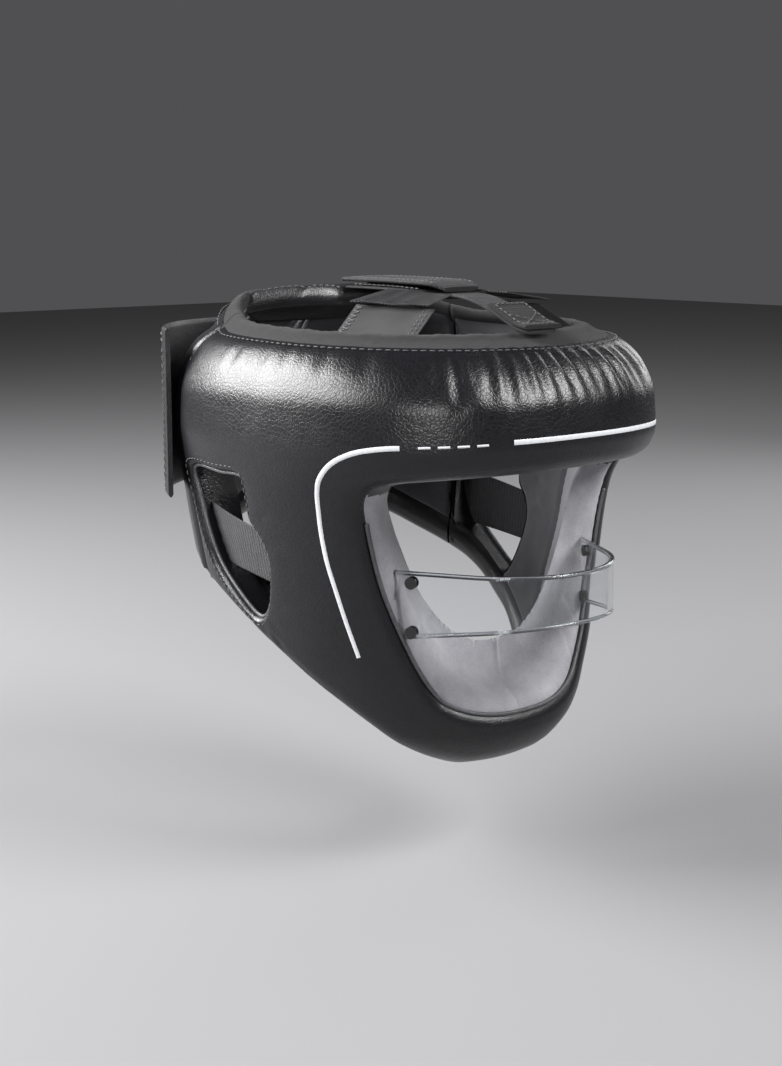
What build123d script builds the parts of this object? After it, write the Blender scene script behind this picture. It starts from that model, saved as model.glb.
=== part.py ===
from build123d import *
import math
import os

os.makedirs("parts", exist_ok=True)

# ---------------------------------------------------------------- driving dimensions (mm)
# Frame: origin at the wearer's head centre, +Z up, the wearer faces -Y, the wearer's right is -X.
# Outer surface of the padded shell as level rows: z, half width, front depth, rear depth.
LEVELS = [
    (-106, 40, 60, 58), (-100, 52, 72, 70), (-92, 62, 80, 80), (-82, 71, 85, 89),
    (-66, 79, 87, 97), (-46, 87, 87, 103), (-20, 93, 88, 107), (6, 98, 90, 110),
    (24, 101, 95, 111), (34, 103, 103, 112), (44, 105, 114, 112), (56, 106.5, 120, 112),
    (72, 106, 119, 111), (86, 102, 112, 107), (96, 95, 101, 101), (102, 87, 88, 94),
    (118, 80, 80, 88),
]
POWER = 2.4                      # squareness of every level's outline
# Lower edge and top edge of the shell against the angle from the front.
LOWER = [(0, -104), (18, -103.5), (30, -99), (45, -90), (55, -80), (65, -70.5), (75, -61.5),
         (85, -51.5), (95, -43), (105, -34), (115, -26.5), (125, -20.5), (135, -14),
         (145, -6), (155, 0), (180, 5)]
UPPER = [(0, 98), (45, 99), (90, 100), (112, 101), (126, 105), (140, 111), (155, 113), (180, 113)]
# Padding thickness: rows of z, front, side, rear.
THICK = [(-104, 17, 17, 17), (-90, 25, 23, 20), (-70, 26, 24, 20), (-40, 25, 24, 20),
         (0, 25, 23, 20), (40, 25, 22, 20), (80, 25, 22, 19), (90, 20, 18, 16),
         (100, 13, 12, 12), (112, 10, 10, 10)]
SKIN = 1.4                       # cover and liner sheet
GAP = 0.95                       # drawn gap between sewn layers
R_LOW, R_TOP = 8.0, 3.6          # rounding of the padded lower and upper edges
SEAM_W = 6.0                     # depth of the cover/liner seam on a padded edge
FRONT_END = 121.5                # angle where the front cover meets the rear panels
REAR_START, REAR_END = 122.3, 176.5
# Face opening in side view (y, z): everything in front of this line is open.
FACE_YZ = [(-170, 47.5), (-135, 45.5), (-112, 43.5), (-90, 41.5), (-74, 39.5), (-65, 36), (-60, 29),
           (-58.3, 20), (-58, 7), (-59, -8), (-61, -22), (-64, -38), (-66.5, -50), (-69, -60),
           (-72, -67), (-78, -73.5), (-86, -79.5), (-96, -83), (-120, -86), (-170, -90)]
# Ear openings as angle and height of the outline on the outer surface.
EAR = [(-92, 37), (-91, 26), (-91, 16), (-87, 8), (-85, -2), (-87, -19), (-91, -30), (-96, -32),
       (-104, -23), (-112, -10), (-116, 6), (-118.5, 24), (-119, 34), (-113, 38), (-102, 37.5)]
PIPE_R = 1.1
VISOR_T = 2.0
VISOR_TOP, VISOR_LOW = -3.0, -36.0
CLOSURE_Z = (20.0, 102.0)        # rear closure strap, lower and upper edge
CLOSURE_T = 2.4


# ---------------------------------------------------------------- helpers
def interp(rows, x, col=1):
    """Monotone cubic through the rows' first column against column col."""
    xs = [r[0] for r in rows]
    ys = [float(r[col]) for r in rows]
    n = len(xs)
    x = min(max(x, xs[0]), xs[-1])
    h = [xs[i + 1] - xs[i] for i in range(n - 1)]
    d = [(ys[i + 1] - ys[i]) / h[i] for i in range(n - 1)]
    m = [d[0]] + [0.0] * (n - 2) + [d[-1]]
    for i in range(1, n - 1):
        if d[i - 1] * d[i] > 0:
            w1, w2 = 2 * h[i] + h[i - 1], h[i] + 2 * h[i - 1]
            m[i] = (w1 + w2) / (w1 / d[i - 1] + w2 / d[i])
    k = 0
    while k < n - 2 and x > xs[k + 1]:
        k += 1
    t = (x - xs[k]) / h[k]
    return ((2 * t**3 - 3 * t**2 + 1) * ys[k] + (t**3 - 2 * t**2 + t) * h[k] * m[k]
            + (-2 * t**3 + 3 * t**2) * ys[k + 1] + (t**3 - t**2) * h[k] * m[k + 1])


def level(z):
    return interp(LEVELS, z, 1), interp(LEVELS, z, 2), interp(LEVELS, z, 3)


def radius(th, z):
    """Distance from the vertical axis to the outer surface, and normal/radial cosine."""
    a, b, c = level(z)
    s, co = math.sin(math.radians(th)), math.cos(math.radians(th))
    d = b if co >= 0 else c
    u, v = abs(s) / a, abs(co) / d
    r = (u**POWER + v**POWER) ** (-1 / POWER)
    gx = (u ** (POWER - 1)) / a
    gy = (v ** (POWER - 1)) / d
    dot = (gx * abs(s) + gy * abs(co)) / math.hypot(gx, gy)
    return r, dot


def point(th, z, w=0.0):
    """Point at depth w (measured square to the level outline) below the outer surface."""
    r, dot = radius(th, z)
    r -= w / dot
    return (r * math.sin(math.radians(th)), -r * math.cos(math.radians(th)), z)


def thick(th, z):
    s, co = math.sin(math.radians(th)), math.cos(math.radians(th))
    f, sd, re = interp(THICK, z, 1), interp(THICK, z, 2), interp(THICK, z, 3)
    end = f if co >= 0 else re
    return sd * s * s + end * co * co


def zlow(th):
    return interp(LOWER, abs(th))


def ztop(th):
    return interp(UPPER, abs(th))


def outline(th, d, zt=None, zb=None, w_lo=None, w_hi=None, rt=R_TOP, rb=R_LOW):
    """Two point lists (outer side, inner side) of the pad's section at angle th, set in by d."""
    zt = (ztop(th) if zt is None else zt) - d
    zb = (zlow(th) if zb is None else zb) + d

    def lo(z):
        return d if w_lo is None else w_lo

    def hi(z):
        return thick(th, z) - d if w_hi is None else w_hi

    rt, rb = max(rt - d, 0.6), max(rb - d, 0.6)
    outer, inner = [], []
    arcs = [math.radians(a) for a in (0, 22.5, 45, 67.5, 90)]
    mid_t, mid_b = (lo(zt) + hi(zt)) / 2, (lo(zb) + hi(zb)) / 2
    outer.append((mid_t, zt))
    for a in arcs:
        outer.append((lo(zt) + rt - rt * math.sin(a), zt - rt + rt * math.cos(a)))
    n = 9
    for i in range(1, n):
        outer.append((lo(0), (zt - rt) + (zb + rb - zt + rt) * i / n))
    for a in reversed(arcs):
        outer.append((lo(zb) + rb - rb * math.sin(a), zb + rb - rb * math.cos(a)))
    outer.append((mid_b, zb))
    inner.append((mid_b, zb))
    for a in arcs:
        z = zb + rb - rb * math.cos(a)
        inner.append((hi(z) - rb + rb * math.sin(a), z))
    for i in range(1, n):
        z = (zb + rb) + (zt - rt - zb - rb) * i / n
        inner.append((hi(z), z))
    for a in reversed(arcs):
        z = zt - rt + rt * math.cos(a)
        inner.append((hi(z) - rt + rt * math.sin(a), z))
    inner.append((mid_t, zt))
    return [point(th, z, w) for w, z in outer], [point(th, z, w) for w, z in inner]


def steps(t0, t1, step):
    n = max(2, int(round(abs(t1 - t0) / step)))
    return [t0 + (t1 - t0) * i / n for i in range(n + 1)]


def band(t0, t1, d=0.0, step=7.5, **kw):
    """Solid swept through the sections from angle t0 to angle t1."""
    wires = []
    for th in steps(t0, t1, step):
        o, i = outline(th, d, **kw)
        wires.append(Wire([Edge.make_spline([Vector(*p) for p in o]),
                           Edge.make_spline([Vector(*p) for p in i])]))
    return Solid.make_loft(wires)


def strip_loft(sections):
    """Loft through closed polygons given as point lists."""
    return Solid.make_loft([Wire.make_polygon([Vector(*p) for p in s], close=True) for s in sections], True)


def grow(points, d, left=True):
    """Open polyline moved sideways by d."""
    out = []
    n = len(points)
    for i in range(n):
        a, b = points[max(i - 1, 0)], points[min(i + 1, n - 1)]
        ty, tz = b[0] - a[0], b[1] - a[1]
        L = math.hypot(ty, tz)
        s = 1 if left else -1
        out.append((points[i][0] - s * d * tz / L, points[i][1] + s * d * ty / L))
    return out


def closed_curve(cp, per=6):
    out, m = [], len(cp)
    for i in range(m):
        p0, p1, p2, p3 = cp[(i - 1) % m], cp[i], cp[(i + 1) % m], cp[(i + 2) % m]
        for k in range(per):
            t = k / per
            out.append(tuple(0.5 * ((2 * p1[j]) + (-p0[j] + p2[j]) * t
                                    + (2 * p0[j] - 5 * p1[j] + 4 * p2[j] - p3[j]) * t * t
                                    + (-p0[j] + 3 * p1[j] - 3 * p2[j] + p3[j]) * t**3) for j in range(2)))
    return out


def face_cutter(d=0.0):
    """Prism across the width that opens the face; d moves its edge into the padding."""
    pts = grow(FACE_YZ, d, left=True)
    spl = Edge.make_spline([Vector(-150, y, z) for y, z in pts])
    a, b = spl @ 0, spl @ 1
    w = Wire([spl, Edge.make_line(b, Vector(-150, -230, b.Z)),
              Edge.make_line(Vector(-150, -230, b.Z), Vector(-150, -230, a.Z)),
              Edge.make_line(Vector(-150, -230, a.Z), a)])
    return Solid.extrude(Face(w), Vector(300, 0, 0))


def ear_outline(d=0.0):
    pts = []
    for th, z in EAR:
        p = point(th, z)
        pts.append((p[1], z))
    loop = closed_curve(pts, 3)
    cy = sum(p[0] for p in loop) / len(loop)
    cz = sum(p[1] for p in loop) / len(loop)
    out, n = [], len(loop)
    for i in range(n):
        a, b = loop[i - 1], loop[(i + 1) % n]
        ty, tz = b[0] - a[0], b[1] - a[1]
        L = math.hypot(ty, tz)
        ny, nz = tz / L, -ty / L
        if ny * (loop[i][0] - cy) + nz * (loop[i][1] - cz) < 0:
            ny, nz = -ny, -nz
        out.append((loop[i][0] + d * ny, loop[i][1] + d * nz))
    return out


def ear_cutter(side, d=0.0):
    pts = ear_outline(d)
    spl = Edge.make_spline([Vector(side * 30, y, z) for y, z in pts], periodic=True)
    return Solid.extrude(Face(Wire([spl])), Vector(side * 110, 0, 0))


def solids_of(shape):
    return sorted(shape.solids(), key=lambda s: -s.volume)


def one(shape):
    """Largest solid of a result, so that crumbs of a cut are dropped."""
    return solids_of(shape)[0]


def mirrored(s):
    return s.mirror(Plane.YZ)


OUT = {}


def put(name, shape):
    OUT[name] = shape


def sector(t0, t1, r=260, z0=-140, z1=160):
    """Wedge between two angles from the front."""
    pts = [(0, 0)] + [(r * math.sin(math.radians(t)), -r * math.cos(math.radians(t)))
                      for t in steps(t0, t1, 20)]
    w = Wire.make_polygon([Vector(x, y, z0) for x, y in pts], close=True)
    return Solid.extrude(Face(w), Vector(0, 0, z1 - z0))


def slab(x0, x1, y0, y1, z0, z1):
    return Solid.make_box(x1 - x0, y1 - y0, z1 - z0).moved(Location((x0, y0, z0)))


# ---------------------------------------------------------------- sewn skins
def skin_band(t0, t1, outside, step=7.5, extra=0.0):
    """Cover (outside) or liner (inside) sheet, wrapped round the pad's upper and lower edges."""
    wires = []
    for th in steps(t0, t1, step):
        o0, i0 = outline(th, 0.0)
        o1, i1 = outline(th, SKIN)
        a, b = (o0, o1) if outside else (i0, i1)
        if outside:
            a, b = a[1:-1], b[1:-1]
            # the cover laps round to the seam on each rounded edge
        else:
            a, b = a[1:-1], b[1:-1]
        pa, pb = [Vector(*p) for p in a], [Vector(*p) for p in reversed(b)]
        wires.append(Wire([Edge.make_spline(pa), Edge.make_line(pa[-1], pb[0]),
                           Edge.make_spline(pb), Edge.make_line(pb[-1], pa[0])]))
    return Solid.make_loft(wires)


EDGE = 1.5                       # the edging sheet on the face opening's cut faces
cut_face, cut_face_foam = face_cutter(EDGE), face_cutter(EDGE + GAP)
ear_r, ear_l = ear_cutter(-1), ear_cutter(1)
ear_r2, ear_l2 = ear_cutter(-1, 1.0), ear_cutter(1, 1.0)


def report(name, before, after):
    print(name, "before", round(before.volume), "after", [round(s.volume) for s in solids_of(after)])


# ---------------------------------------------------------------- front cover
cover_full = skin_band(-FRONT_END, FRONT_END, True)
cover_cut = cover_full - cut_face - ear_r - ear_l
report("front_cover", cover_full, cover_cut)
put("front_cover", one(cover_cut))

# liner panels: forehead, cheek and side pieces, parted by sewn seams
G = 0.2
lin_mid = skin_band(-62, 62, False)
brow = lin_mid - cut_face - slab(-140, 140, -160, 160, -140, 37.0 + G)
report("brow_liner", lin_mid, brow)
put("brow_liner", one(brow))
lin_r = skin_band(-62, -0.1, False)
low = lin_r - cut_face - slab(-140, 140, -160, 160, 37.0, 130)
report("cheek_liner", lin_r, low)
put("cheek_liner_right", one(low))
put("cheek_liner_left", mirrored(one(low)))
side = skin_band(-FRONT_END, -62.3, False) - ear_r - cut_face
put("side_liner_right", one(side))
put("side_liner_left", mirrored(one(side)))

# edging sheet on the cut faces of the opening
edge_env = band(-75, 75, d=0.15, step=7.5)
edging = edge_env & (face_cutter(EDGE - 0.15) - face_cutter(0.0))
report("face_edging", edge_env, edging)
put("face_edging", one(edging))

# foam blocks
fm = band(-50, 50, d=SKIN + 1.3)
fh = fm - cut_face_foam - slab(-140, 140, -160, 160, -140, 37.5)
put("forehead_foam", one(fh))
ch = fm - cut_face_foam - slab(-140, 140, -160, 160, -45.9, 130)
put("chin_foam", one(ch))
fs = band(-FRONT_END + 1.4, -50.3, d=SKIN + GAP)
fs2 = fs - cut_face_foam - ear_r2
report("side foam", fs, fs2)
fs2 = one(fs2)
put("temple_foam_right", one(fs2 - slab(-140, 140, -160, 160, -140, 6.2)))
put("cheek_foam_right", one(fs2 - slab(-140, 140, -160, 160, 6.0, 130)))
put("temple_foam_left", mirrored(OUT["temple_foam_right"]))
put("cheek_foam_left", mirrored(OUT["cheek_foam_right"]))

# ---------------------------------------------------------------- rear padding (wearer's right, then mirrored)
for name, s in (("rear_cover", skin_band(-REAR_END, -REAR_START, True)),
                ("rear_liner", skin_band(-REAR_END, -REAR_START, False)),
                ("rear_foam", band(-REAR_END + 1.4, -REAR_START - 1.4, d=SKIN + GAP))):
    put(name + "_right", s)
    put(name + "_left", mirrored(s))
print("blocks", {k: round(v.volume) for k, v in OUT.items()})


# ---------------------------------------------------------------- bindings
def cap_band(t0, t1, step=6.0):
    """Crown tape: a rounded ring that sits on the shell's upper edge."""
    wires = []
    for th in steps(t0, t1, step):
        zt = ztop(th)
        w1 = thick(th, zt)
        lo, hi = 0.8, w1 - 0.8
        z0, z1 = zt + 0.3, zt + 4.2
        r = 1.5
        pts = []
        for cx, cz, a0 in ((hi - r, z1 - r, 0), (lo + r, z1 - r, 90)):
            for k in range(3):
                a = math.radians(a0 + 45 * k)
                pts.append((cx + (r * math.cos(a)), cz + r * math.sin(a)))
        pts += [(lo, z0), (hi, z0)]
        wires.append([point(th, z, w) for w, z in pts[::-1]])
    return strip_loft(wires)


put("crown_binding_front", cap_band(-FRONT_END, FRONT_END))
cb = cap_band(-REAR_END, -REAR_START)
put("crown_binding_rear_right", cb)
put("crown_binding_rear_left", mirrored(cb))


def low_band(t0, t1, step=6.0):
    """Tape along the inside of the lower edge."""
    wires = []
    for th in steps(t0, t1, step):
        zb = zlow(th)
        T = thick(th, zb + 8)
        z0, z1 = zb + 7.0, zb + 17.0
        w0 = [thick(th, z) + 1.3 for z in (z0, z1)]
        pts = [(w0[0], z0), (w0[0] + 1.2, z0), (w0[1] + 1.2, z1), (w0[1], z1)]
        wires.append([point(th, z, w) for w, z in pts])
    return strip_loft(wires)


put("lower_binding_front", low_band(-FRONT_END, FRONT_END))
lb = low_band(-REAR_END, -REAR_START)
put("lower_binding_rear_right", lb)
put("lower_binding_rear_left", mirrored(lb))


# ---------------------------------------------------------------- piping round the face opening
def face_edge_point(y, z, w):
    """Point of the opening's edge at side-view position (y, z) and depth w, on the right side."""
    lo, hi = 0.5, 89.5
    for _ in range(60):
        m = (lo + hi) / 2
        if point(-m, z, w)[1] < y:
            lo = m
        else:
            hi = m
    return point(-lo, z, w)


def piping_path():
    off = grow(FACE_YZ, -(PIPE_R + 0.15), left=True)
    dense = []
    for i in range(len(off) - 1):
        for k in range(4):
            t = k / 4
            dense.append((off[i][0] + (off[i + 1][0] - off[i][0]) * t, off[i][1] + (off[i + 1][1] - off[i][1]) * t))
    right = []
    for y, z in dense:
        if -83.0 < z < 22 and y > point(0, z, 4.5)[1] + 1.0:
            right.append(face_edge_point(y, z, 4.5))
    right = right[::2]
    yc = None
    # the middle of the chin, where the edge crosses the plane of symmetry
    for i in range(len(dense) - 1):
        y, z = dense[i]
        if z < -60 and y <= point(0, z, 4.5)[1]:
            yc = (0.0, y, z)
            break
    left = [(-x, y, z) for x, y, z in reversed(right)]
    return right + [yc] + left


pp = piping_path()
spine = Edge.make_spline([Vector(*p) for p in pp])
pl = Plane(origin=spine @ 0, z_dir=spine % 0)
ring = Wire.make_circle(PIPE_R, pl)
put("face_piping", Solid.sweep(Face(ring), spine))

# ear opening piping, on the cover side of each opening
ep = ear_outline(-(PIPE_R + 0.15) * 0.8 - 0.2)


def ear_path():
    out = []
    for y, z in ep:
        th0, th1 = 60.0, 150.0
        for _ in range(50):
            m = (th0 + th1) / 2
            if point(-m, z, 4.0)[1] < y:
                th0 = m
            else:
                th1 = m
        out.append(point(-th0, z, 4.0))
    return out


e_sp = Edge.make_spline([Vector(*p) for p in ear_path()][:-1])
e_pl = Plane(origin=e_sp @ 0, z_dir=e_sp % 0)
ear_pipe = Solid.sweep(Face(Wire.make_circle(0.8, e_pl)), e_sp)
put("ear_piping_right", ear_pipe)
put("ear_piping_left", mirrored(ear_pipe))


# ---------------------------------------------------------------- ear webbing
def ear_web():
    """Ribbed webbing across the ear opening, inside it, sewn to both of its edges."""
    secs = []
    for i in range(9):
        t = i / 8
        th = -123.0 + 42.0 * t
        z1 = 19.0 - 13.0 * t
        z0 = -9.0 - 8.0 * t
        w = 9.0 + 1.5 * math.sin(math.pi * t)
        secs.append([point(th, z0, w), point(th, z0, w + 1.6), point(th, z1, w + 1.6), point(th, z1, w)])
    return Solid.make_loft([Wire.make_polygon([Vector(*p) for p in s], close=True) for s in secs])


web = ear_web()
hole = ear_cutter(-1, -0.3)
web = one(web & hole)
put("ear_strap_right", web)
put("ear_strap_left", mirrored(web))

# ---------------------------------------------------------------- visor
NOSE_Y, NOSE_R = -118.0, 52.0
END_X, END_Y = 68.0, -50.0


def visor_plan(off):
    """Plan wire of the visor band offset outwards by off: two straight legs and a nose arc."""
    r = NOSE_R + off
    cy = NOSE_Y + NOSE_R
    # tangent from the leg end to the nose arc
    ex, ey = END_X, END_Y
    dx, dy = ex, ey - cy
    L = math.hypot(dx, dy)
    base = math.atan2(dy, dx)
    ang = base - math.acos(NOSE_R / L)
    nx, ny = math.cos(ang), math.sin(ang)
    tx, ty = r * nx, cy + r * ny
    e = (ex + off * nx, ey + off * ny)
    return e, (tx, ty), (0, cy - r), nx, ny


def visor_solid(o0, o1, z0, z1, extra=0.0):
    (e1, t1, n1, nx, ny), (e0, t0, n0, _, _) = visor_plan(o1), visor_plan(o0)
    L = math.hypot(e1[0] - t1[0], e1[1] - t1[1])
    ux, uy = (e1[0] - t1[0]) / L, (e1[1] - t1[1]) / L
    e1 = (e1[0] + ux * extra, e1[1] + uy * extra)
    e0 = (e0[0] + ux * extra, e0[1] + uy * extra)
    V = lambda p, s=1: Vector(s * p[0], p[1], z0)
    edges = [Edge.make_line(V(e1), V(t1)), Edge.make_three_point_arc(V(t1), V(n1), V(t1, -1)),
             Edge.make_line(V(t1, -1), V(e1, -1)), Edge.make_line(V(e1, -1), V(e0, -1)),
             Edge.make_line(V(e0, -1), V(t0, -1)), Edge.make_three_point_arc(V(t0, -1), V(n0), V(t0)),
             Edge.make_line(V(t0), V(e0)), Edge.make_line(V(e0), V(e1))]
    return Solid.extrude(Face(Wire(edges)), Vector(0, 0, z1 - z0))


visor = visor_solid(-VISOR_T / 2, VISOR_T / 2, VISOR_LOW, VISOR_TOP)
# the lower edge rises towards the front
rise = Face(Wire.make_polygon([Vector(-120, -45, -36.7), Vector(-120, -130, -25.4), Vector(-120, -130, -60), Vector(-120, -45, -60)], close=True))
visor = one(visor - Solid.extrude(rise, Vector(240, 0, 0)))
pocket = visor_solid(-VISOR_T / 2 - 0.3, VISOR_T / 2 + 0.3, VISOR_LOW - 0.3, VISOR_TOP + 0.3, extra=0.4)
e, t, n, vnx, vny = visor_plan(0)
leg = math.hypot(e[0] - t[0], e[1] - t[1])
ux, uy = (e[0] - t[0]) / leg, (e[1] - t[1]) / leg
rivets, holes = [], []
for s in (1, -1):
    for z in (VISOR_TOP - 5, VISOR_LOW + 5):
        back = 20.0
        c = (s * (e[0] - ux * back), e[1] - uy * back, z)
        d = Vector(s * vnx, vny, 0)
        base = Vector(*c)
        shaft = Solid.make_cylinder(1.5, 3.6, Plane(origin=base - d * 1.8, z_dir=d))
        h1 = Solid.make_cylinder(2.8, 1.1, Plane(origin=base + d * (VISOR_T / 2 + 0.1), z_dir=d))
        h2 = Solid.make_cylinder(2.8, 1.1, Plane(origin=base - d * (VISOR_T / 2 + 0.1), z_dir=d * -1))
        rivets.append(shaft.fuse(h1, h2))
        holes.append(Solid.make_cylinder(1.62, 6, Plane(origin=base - d * 3, z_dir=d)))
for h in holes:
    visor = visor - h
visor = one(visor)
put("visor", visor)
rv = []
for r in rivets:
    rv += list(r.solids())
put("visor_studs", Compound(rv))
for name in ("front_cover", "face_edging", "cheek_liner_right", "cheek_liner_left", "cheek_foam_right", "cheek_foam_left"):
    OUT[name] = one(OUT[name] - pocket)
pp_solid = OUT["face_piping"] - pocket
OUT["face_piping"] = Compound(list(pp_solid.solids())) if len(pp_solid.solids()) > 1 else one(pp_solid)

# ---------------------------------------------------------------- rear closure strap and its patches


def plan_strip(t0, t1, w0, w1, z0, z1, step=6.0, zref=60.0):
    """Upright strip whose plan follows the level outline at zref at depths w0 to w1."""
    o = [point(t, zref, w0) for t in steps(t0, t1, step)]
    i = [point(t, zref, w1) for t in steps(t1, t0, step)]
    so = Edge.make_spline([Vector(p[0], p[1], z0) for p in o])
    si = Edge.make_spline([Vector(p[0], p[1], z0) for p in i])
    w = Wire([so, Edge.make_line(so @ 1, si @ 0), si, Edge.make_line(si @ 1, so @ 0)])
    return Solid.extrude(Face(w), Vector(0, 0, z1 - z0))


T0, T1 = -(360 - 128.0), -121.0            # from the free end on the left, over the back, to the sewn end
put("rear_closure_strap", plan_strip(T0, T1, -3.4 - CLOSURE_T, -3.4, CLOSURE_Z[0], CLOSURE_Z[1]))
put("closure_hook_patch", plan_strip(T0 + 2, T0 + 24, -3.1, -2.0, CLOSURE_Z[0] + 8, CLOSURE_Z[1] - 26))
put("closure_loop_patch", plan_strip(T0 + 1, T0 + 30, -1.6, -0.5, CLOSURE_Z[0] + 30, CLOSURE_Z[1] - 32))

# elastic that bridges the gap between the two rear panels, on their inside
el = []
for th in steps(-(360 - 166.0), -166.0, 4.0):
    el.append([point(th, z, thick(th, z) + dw) for z, dw in ((24, 0.7), (24, 2.1), (88, 2.1), (88, 0.7))])
put("rear_elastic", strip_loft(el))


# ---------------------------------------------------------------- crown
def quad_sheet(p00, p10, p11, p01, t):
    """Flat-ish quadrilateral sheet of thickness t, as a ruled solid."""
    a, b, c, d = Vector(*p00), Vector(*p10), Vector(*p11), Vector(*p01)
    n = (b - a).cross(d - a)
    n = n.normalized() * t
    if n.Z < 0:
        n = n * -1
    bot = Wire.make_polygon([a, b, c, d], close=True)
    top = Wire.make_polygon([a + n, b + n, c + n, d + n], close=True)
    return Solid.make_loft([bot, top], True)


def planar_quad(p0, p1, p2, up, t):
    """Sheet in the plane of three points; the fourth corner is p0 + up*(p2-p1) projected."""
    a, b, c = Vector(*p0), Vector(*p1), Vector(*p2)
    n = (b - a).cross(c - a).normalized()
    if n.Z < 0:
        n = n * -1
    d = Vector(*up)
    d = d - n * ((d - a).dot(n))
    f = Face(Wire.make_polygon([a, b, c, d], close=True))
    return Solid.extrude(f, n * t)


def rim(th, z, extra=0.4):
    """Point on the inside of the rim."""
    return point(th, z, thick(th, z) + extra)


# side panels rise from the inside of the rim to the crown
pa, pb, pc, pd = Vector(*rim(-70, 93.0, 1.4)), Vector(*rim(-43, 94.5, 1.4)), Vector(-34, -56, 112.6), Vector(-38, -6, 113.0)
n0, n1 = (pb - pa).cross(pc - pa).normalized(), (pc - pd).cross(pb - pd).normalized()
n0, n1 = [n * 1.6 if n.Z > 0 else n * -1.6 for n in (n0, n1)]
panel = Solid.make_loft([Wire.make_polygon([pa, pb, pb + n0, pa + n0], close=True), Wire.make_polygon([pd, pc, pc + n1, pd + n1], close=True)], True)
put("crown_panel_right", panel)
put("crown_panel_left", mirrored(panel))
tab = planar_quad((-45.0, -9.0, 113.0), (-39.0, -57.0, 112.8), (-17.9, -50.0, 116.6), (-17.9, -6.0, 117.0), 1.4)
tab = tab.moved(Location((0, 0, 1.9)))
put("crown_web_right", tab)
put("crown_web_left", mirrored(tab))


def side_strip(path, w, t, up=1, ruled=False):
    """Strap along a path (y, z, width) in the plane x = 0; up is +1 when the path runs to the rear."""
    secs = []
    n = len(path)
    for i in range(n):
        a, b = path[max(i - 1, 0)], path[min(i + 1, n - 1)]
        ty, tz = b[0] - a[0], b[1] - a[1]
        L = math.hypot(ty, tz)
        ny, nz = -up * tz / L, up * ty / L
        y, z = path[i][0], path[i][1]
        ww = path[i][2] if len(path[i]) > 2 else w
        secs.append([(-ww / 2, y, z), (ww / 2, y, z), (ww / 2, y + ny * t, z + nz * t), (-ww / 2, y + ny * t, z + nz * t)])
    return Solid.make_loft([Wire.make_polygon([Vector(*p) for p in s], close=True) for s in secs], ruled)


# padded rear yoke, wide where it is sewn inside the rear rim and narrow on top
yoke = side_strip([(92.0, 99.5, 124), (82.0, 101.5, 120), (72.0, 105.0, 108), (62.0, 108.4, 84), (50.0, 110.0, 62),
                   (38.0, 110.6, 48), (27.0, 110.8, 42)], 60, 10.0, up=-1)
behind = plan_strip(-240, -120, -40.0, thick(180, 104) + 3.8, 80, 140, zref=104.0)
put("crown_rear_yoke", one(yoke - behind))
# sleeve on top, with the loop patch
put("crown_sleeve", side_strip([(-26.0, 118.6, 34), (-8.0, 119.3, 34), (10.0, 119.5, 34), (26.3, 119.5, 36)], 34, 1.4))
put("crown_loop_patch", side_strip([(-12.0, 120.8, 24), (5.0, 121.05, 24), (22.0, 121.1, 24)], 24, 0.7))
# front strap from the front rim up to the ring
FS = [(-90.0, 102.7), (-83.0, 103.9), (-76.0, 107.0), (-65.0, 111.9), (-52.0, 115.8), (-43.0, 117.1), (-38.5, 117.3)]
put("crown_front_strap", side_strip(FS, 19, 1.8))
put("crown_front_anchor", side_strip([(-91.0, 104.9), (-84.0, 106.1), (-77.2, 109.2), (-67.0, 114.2)], 24, 2.0))


# ring that the front strap turns round
def frame_ring(cx, cy, cz, wx, wy, r):
    outer = slab(cx - wx / 2, cx + wx / 2, cy - wy / 2, cy + wy / 2, cz - r, cz + r)
    inner = slab(cx - wx / 2 + 2 * r, cx + wx / 2 - 2 * r, cy - wy / 2 + 2 * r, cy + wy / 2 - 2 * r, cz - r - 1, cz + r + 1)
    s = one(outer - inner)
    return s.fillet(r * 0.45, s.edges().filter_by(Axis.Z))


put("crown_ring", frame_ring(0, -32.2, 117.8, 34.0, 11.0, 1.4))
# folded end of the front strap, lying on the sleeve
put("crown_tab", side_strip([(-37.0, 119.95, 22), (-33.0, 121.4, 26), (-26.0, 122.4, 32), (-10.0, 122.8, 32), (6.0, 122.95, 32), (31.0, 122.9, 32)], 32, 2.0, ruled=True))
put("crown_hook_patch", side_strip([(-8.0, 122.05, 22), (5.0, 122.15, 22), (18.0, 122.15, 22)], 22, 0.55))

# ---------------------------------------------------------------- write
for name, shape in OUT.items():
    if isinstance(shape, Compound) and len(shape.solids()) == 1:
        shape = shape.solids()[0]
    shape.label = name
    export_step(shape, "parts/" + name + ".step")
    bb = shape.bounding_box()
    print(name, len(shape.solids()), round(shape.volume), [round(v) for v in (bb.min.X, bb.min.Y, bb.min.Z, bb.max.X, bb.max.Y, bb.max.Z)])
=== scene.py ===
import bpy, bmesh, math
import numpy as np
from mathutils import Vector, Matrix, noise
from mathutils.geometry import delaunay_2d_cdt


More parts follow.
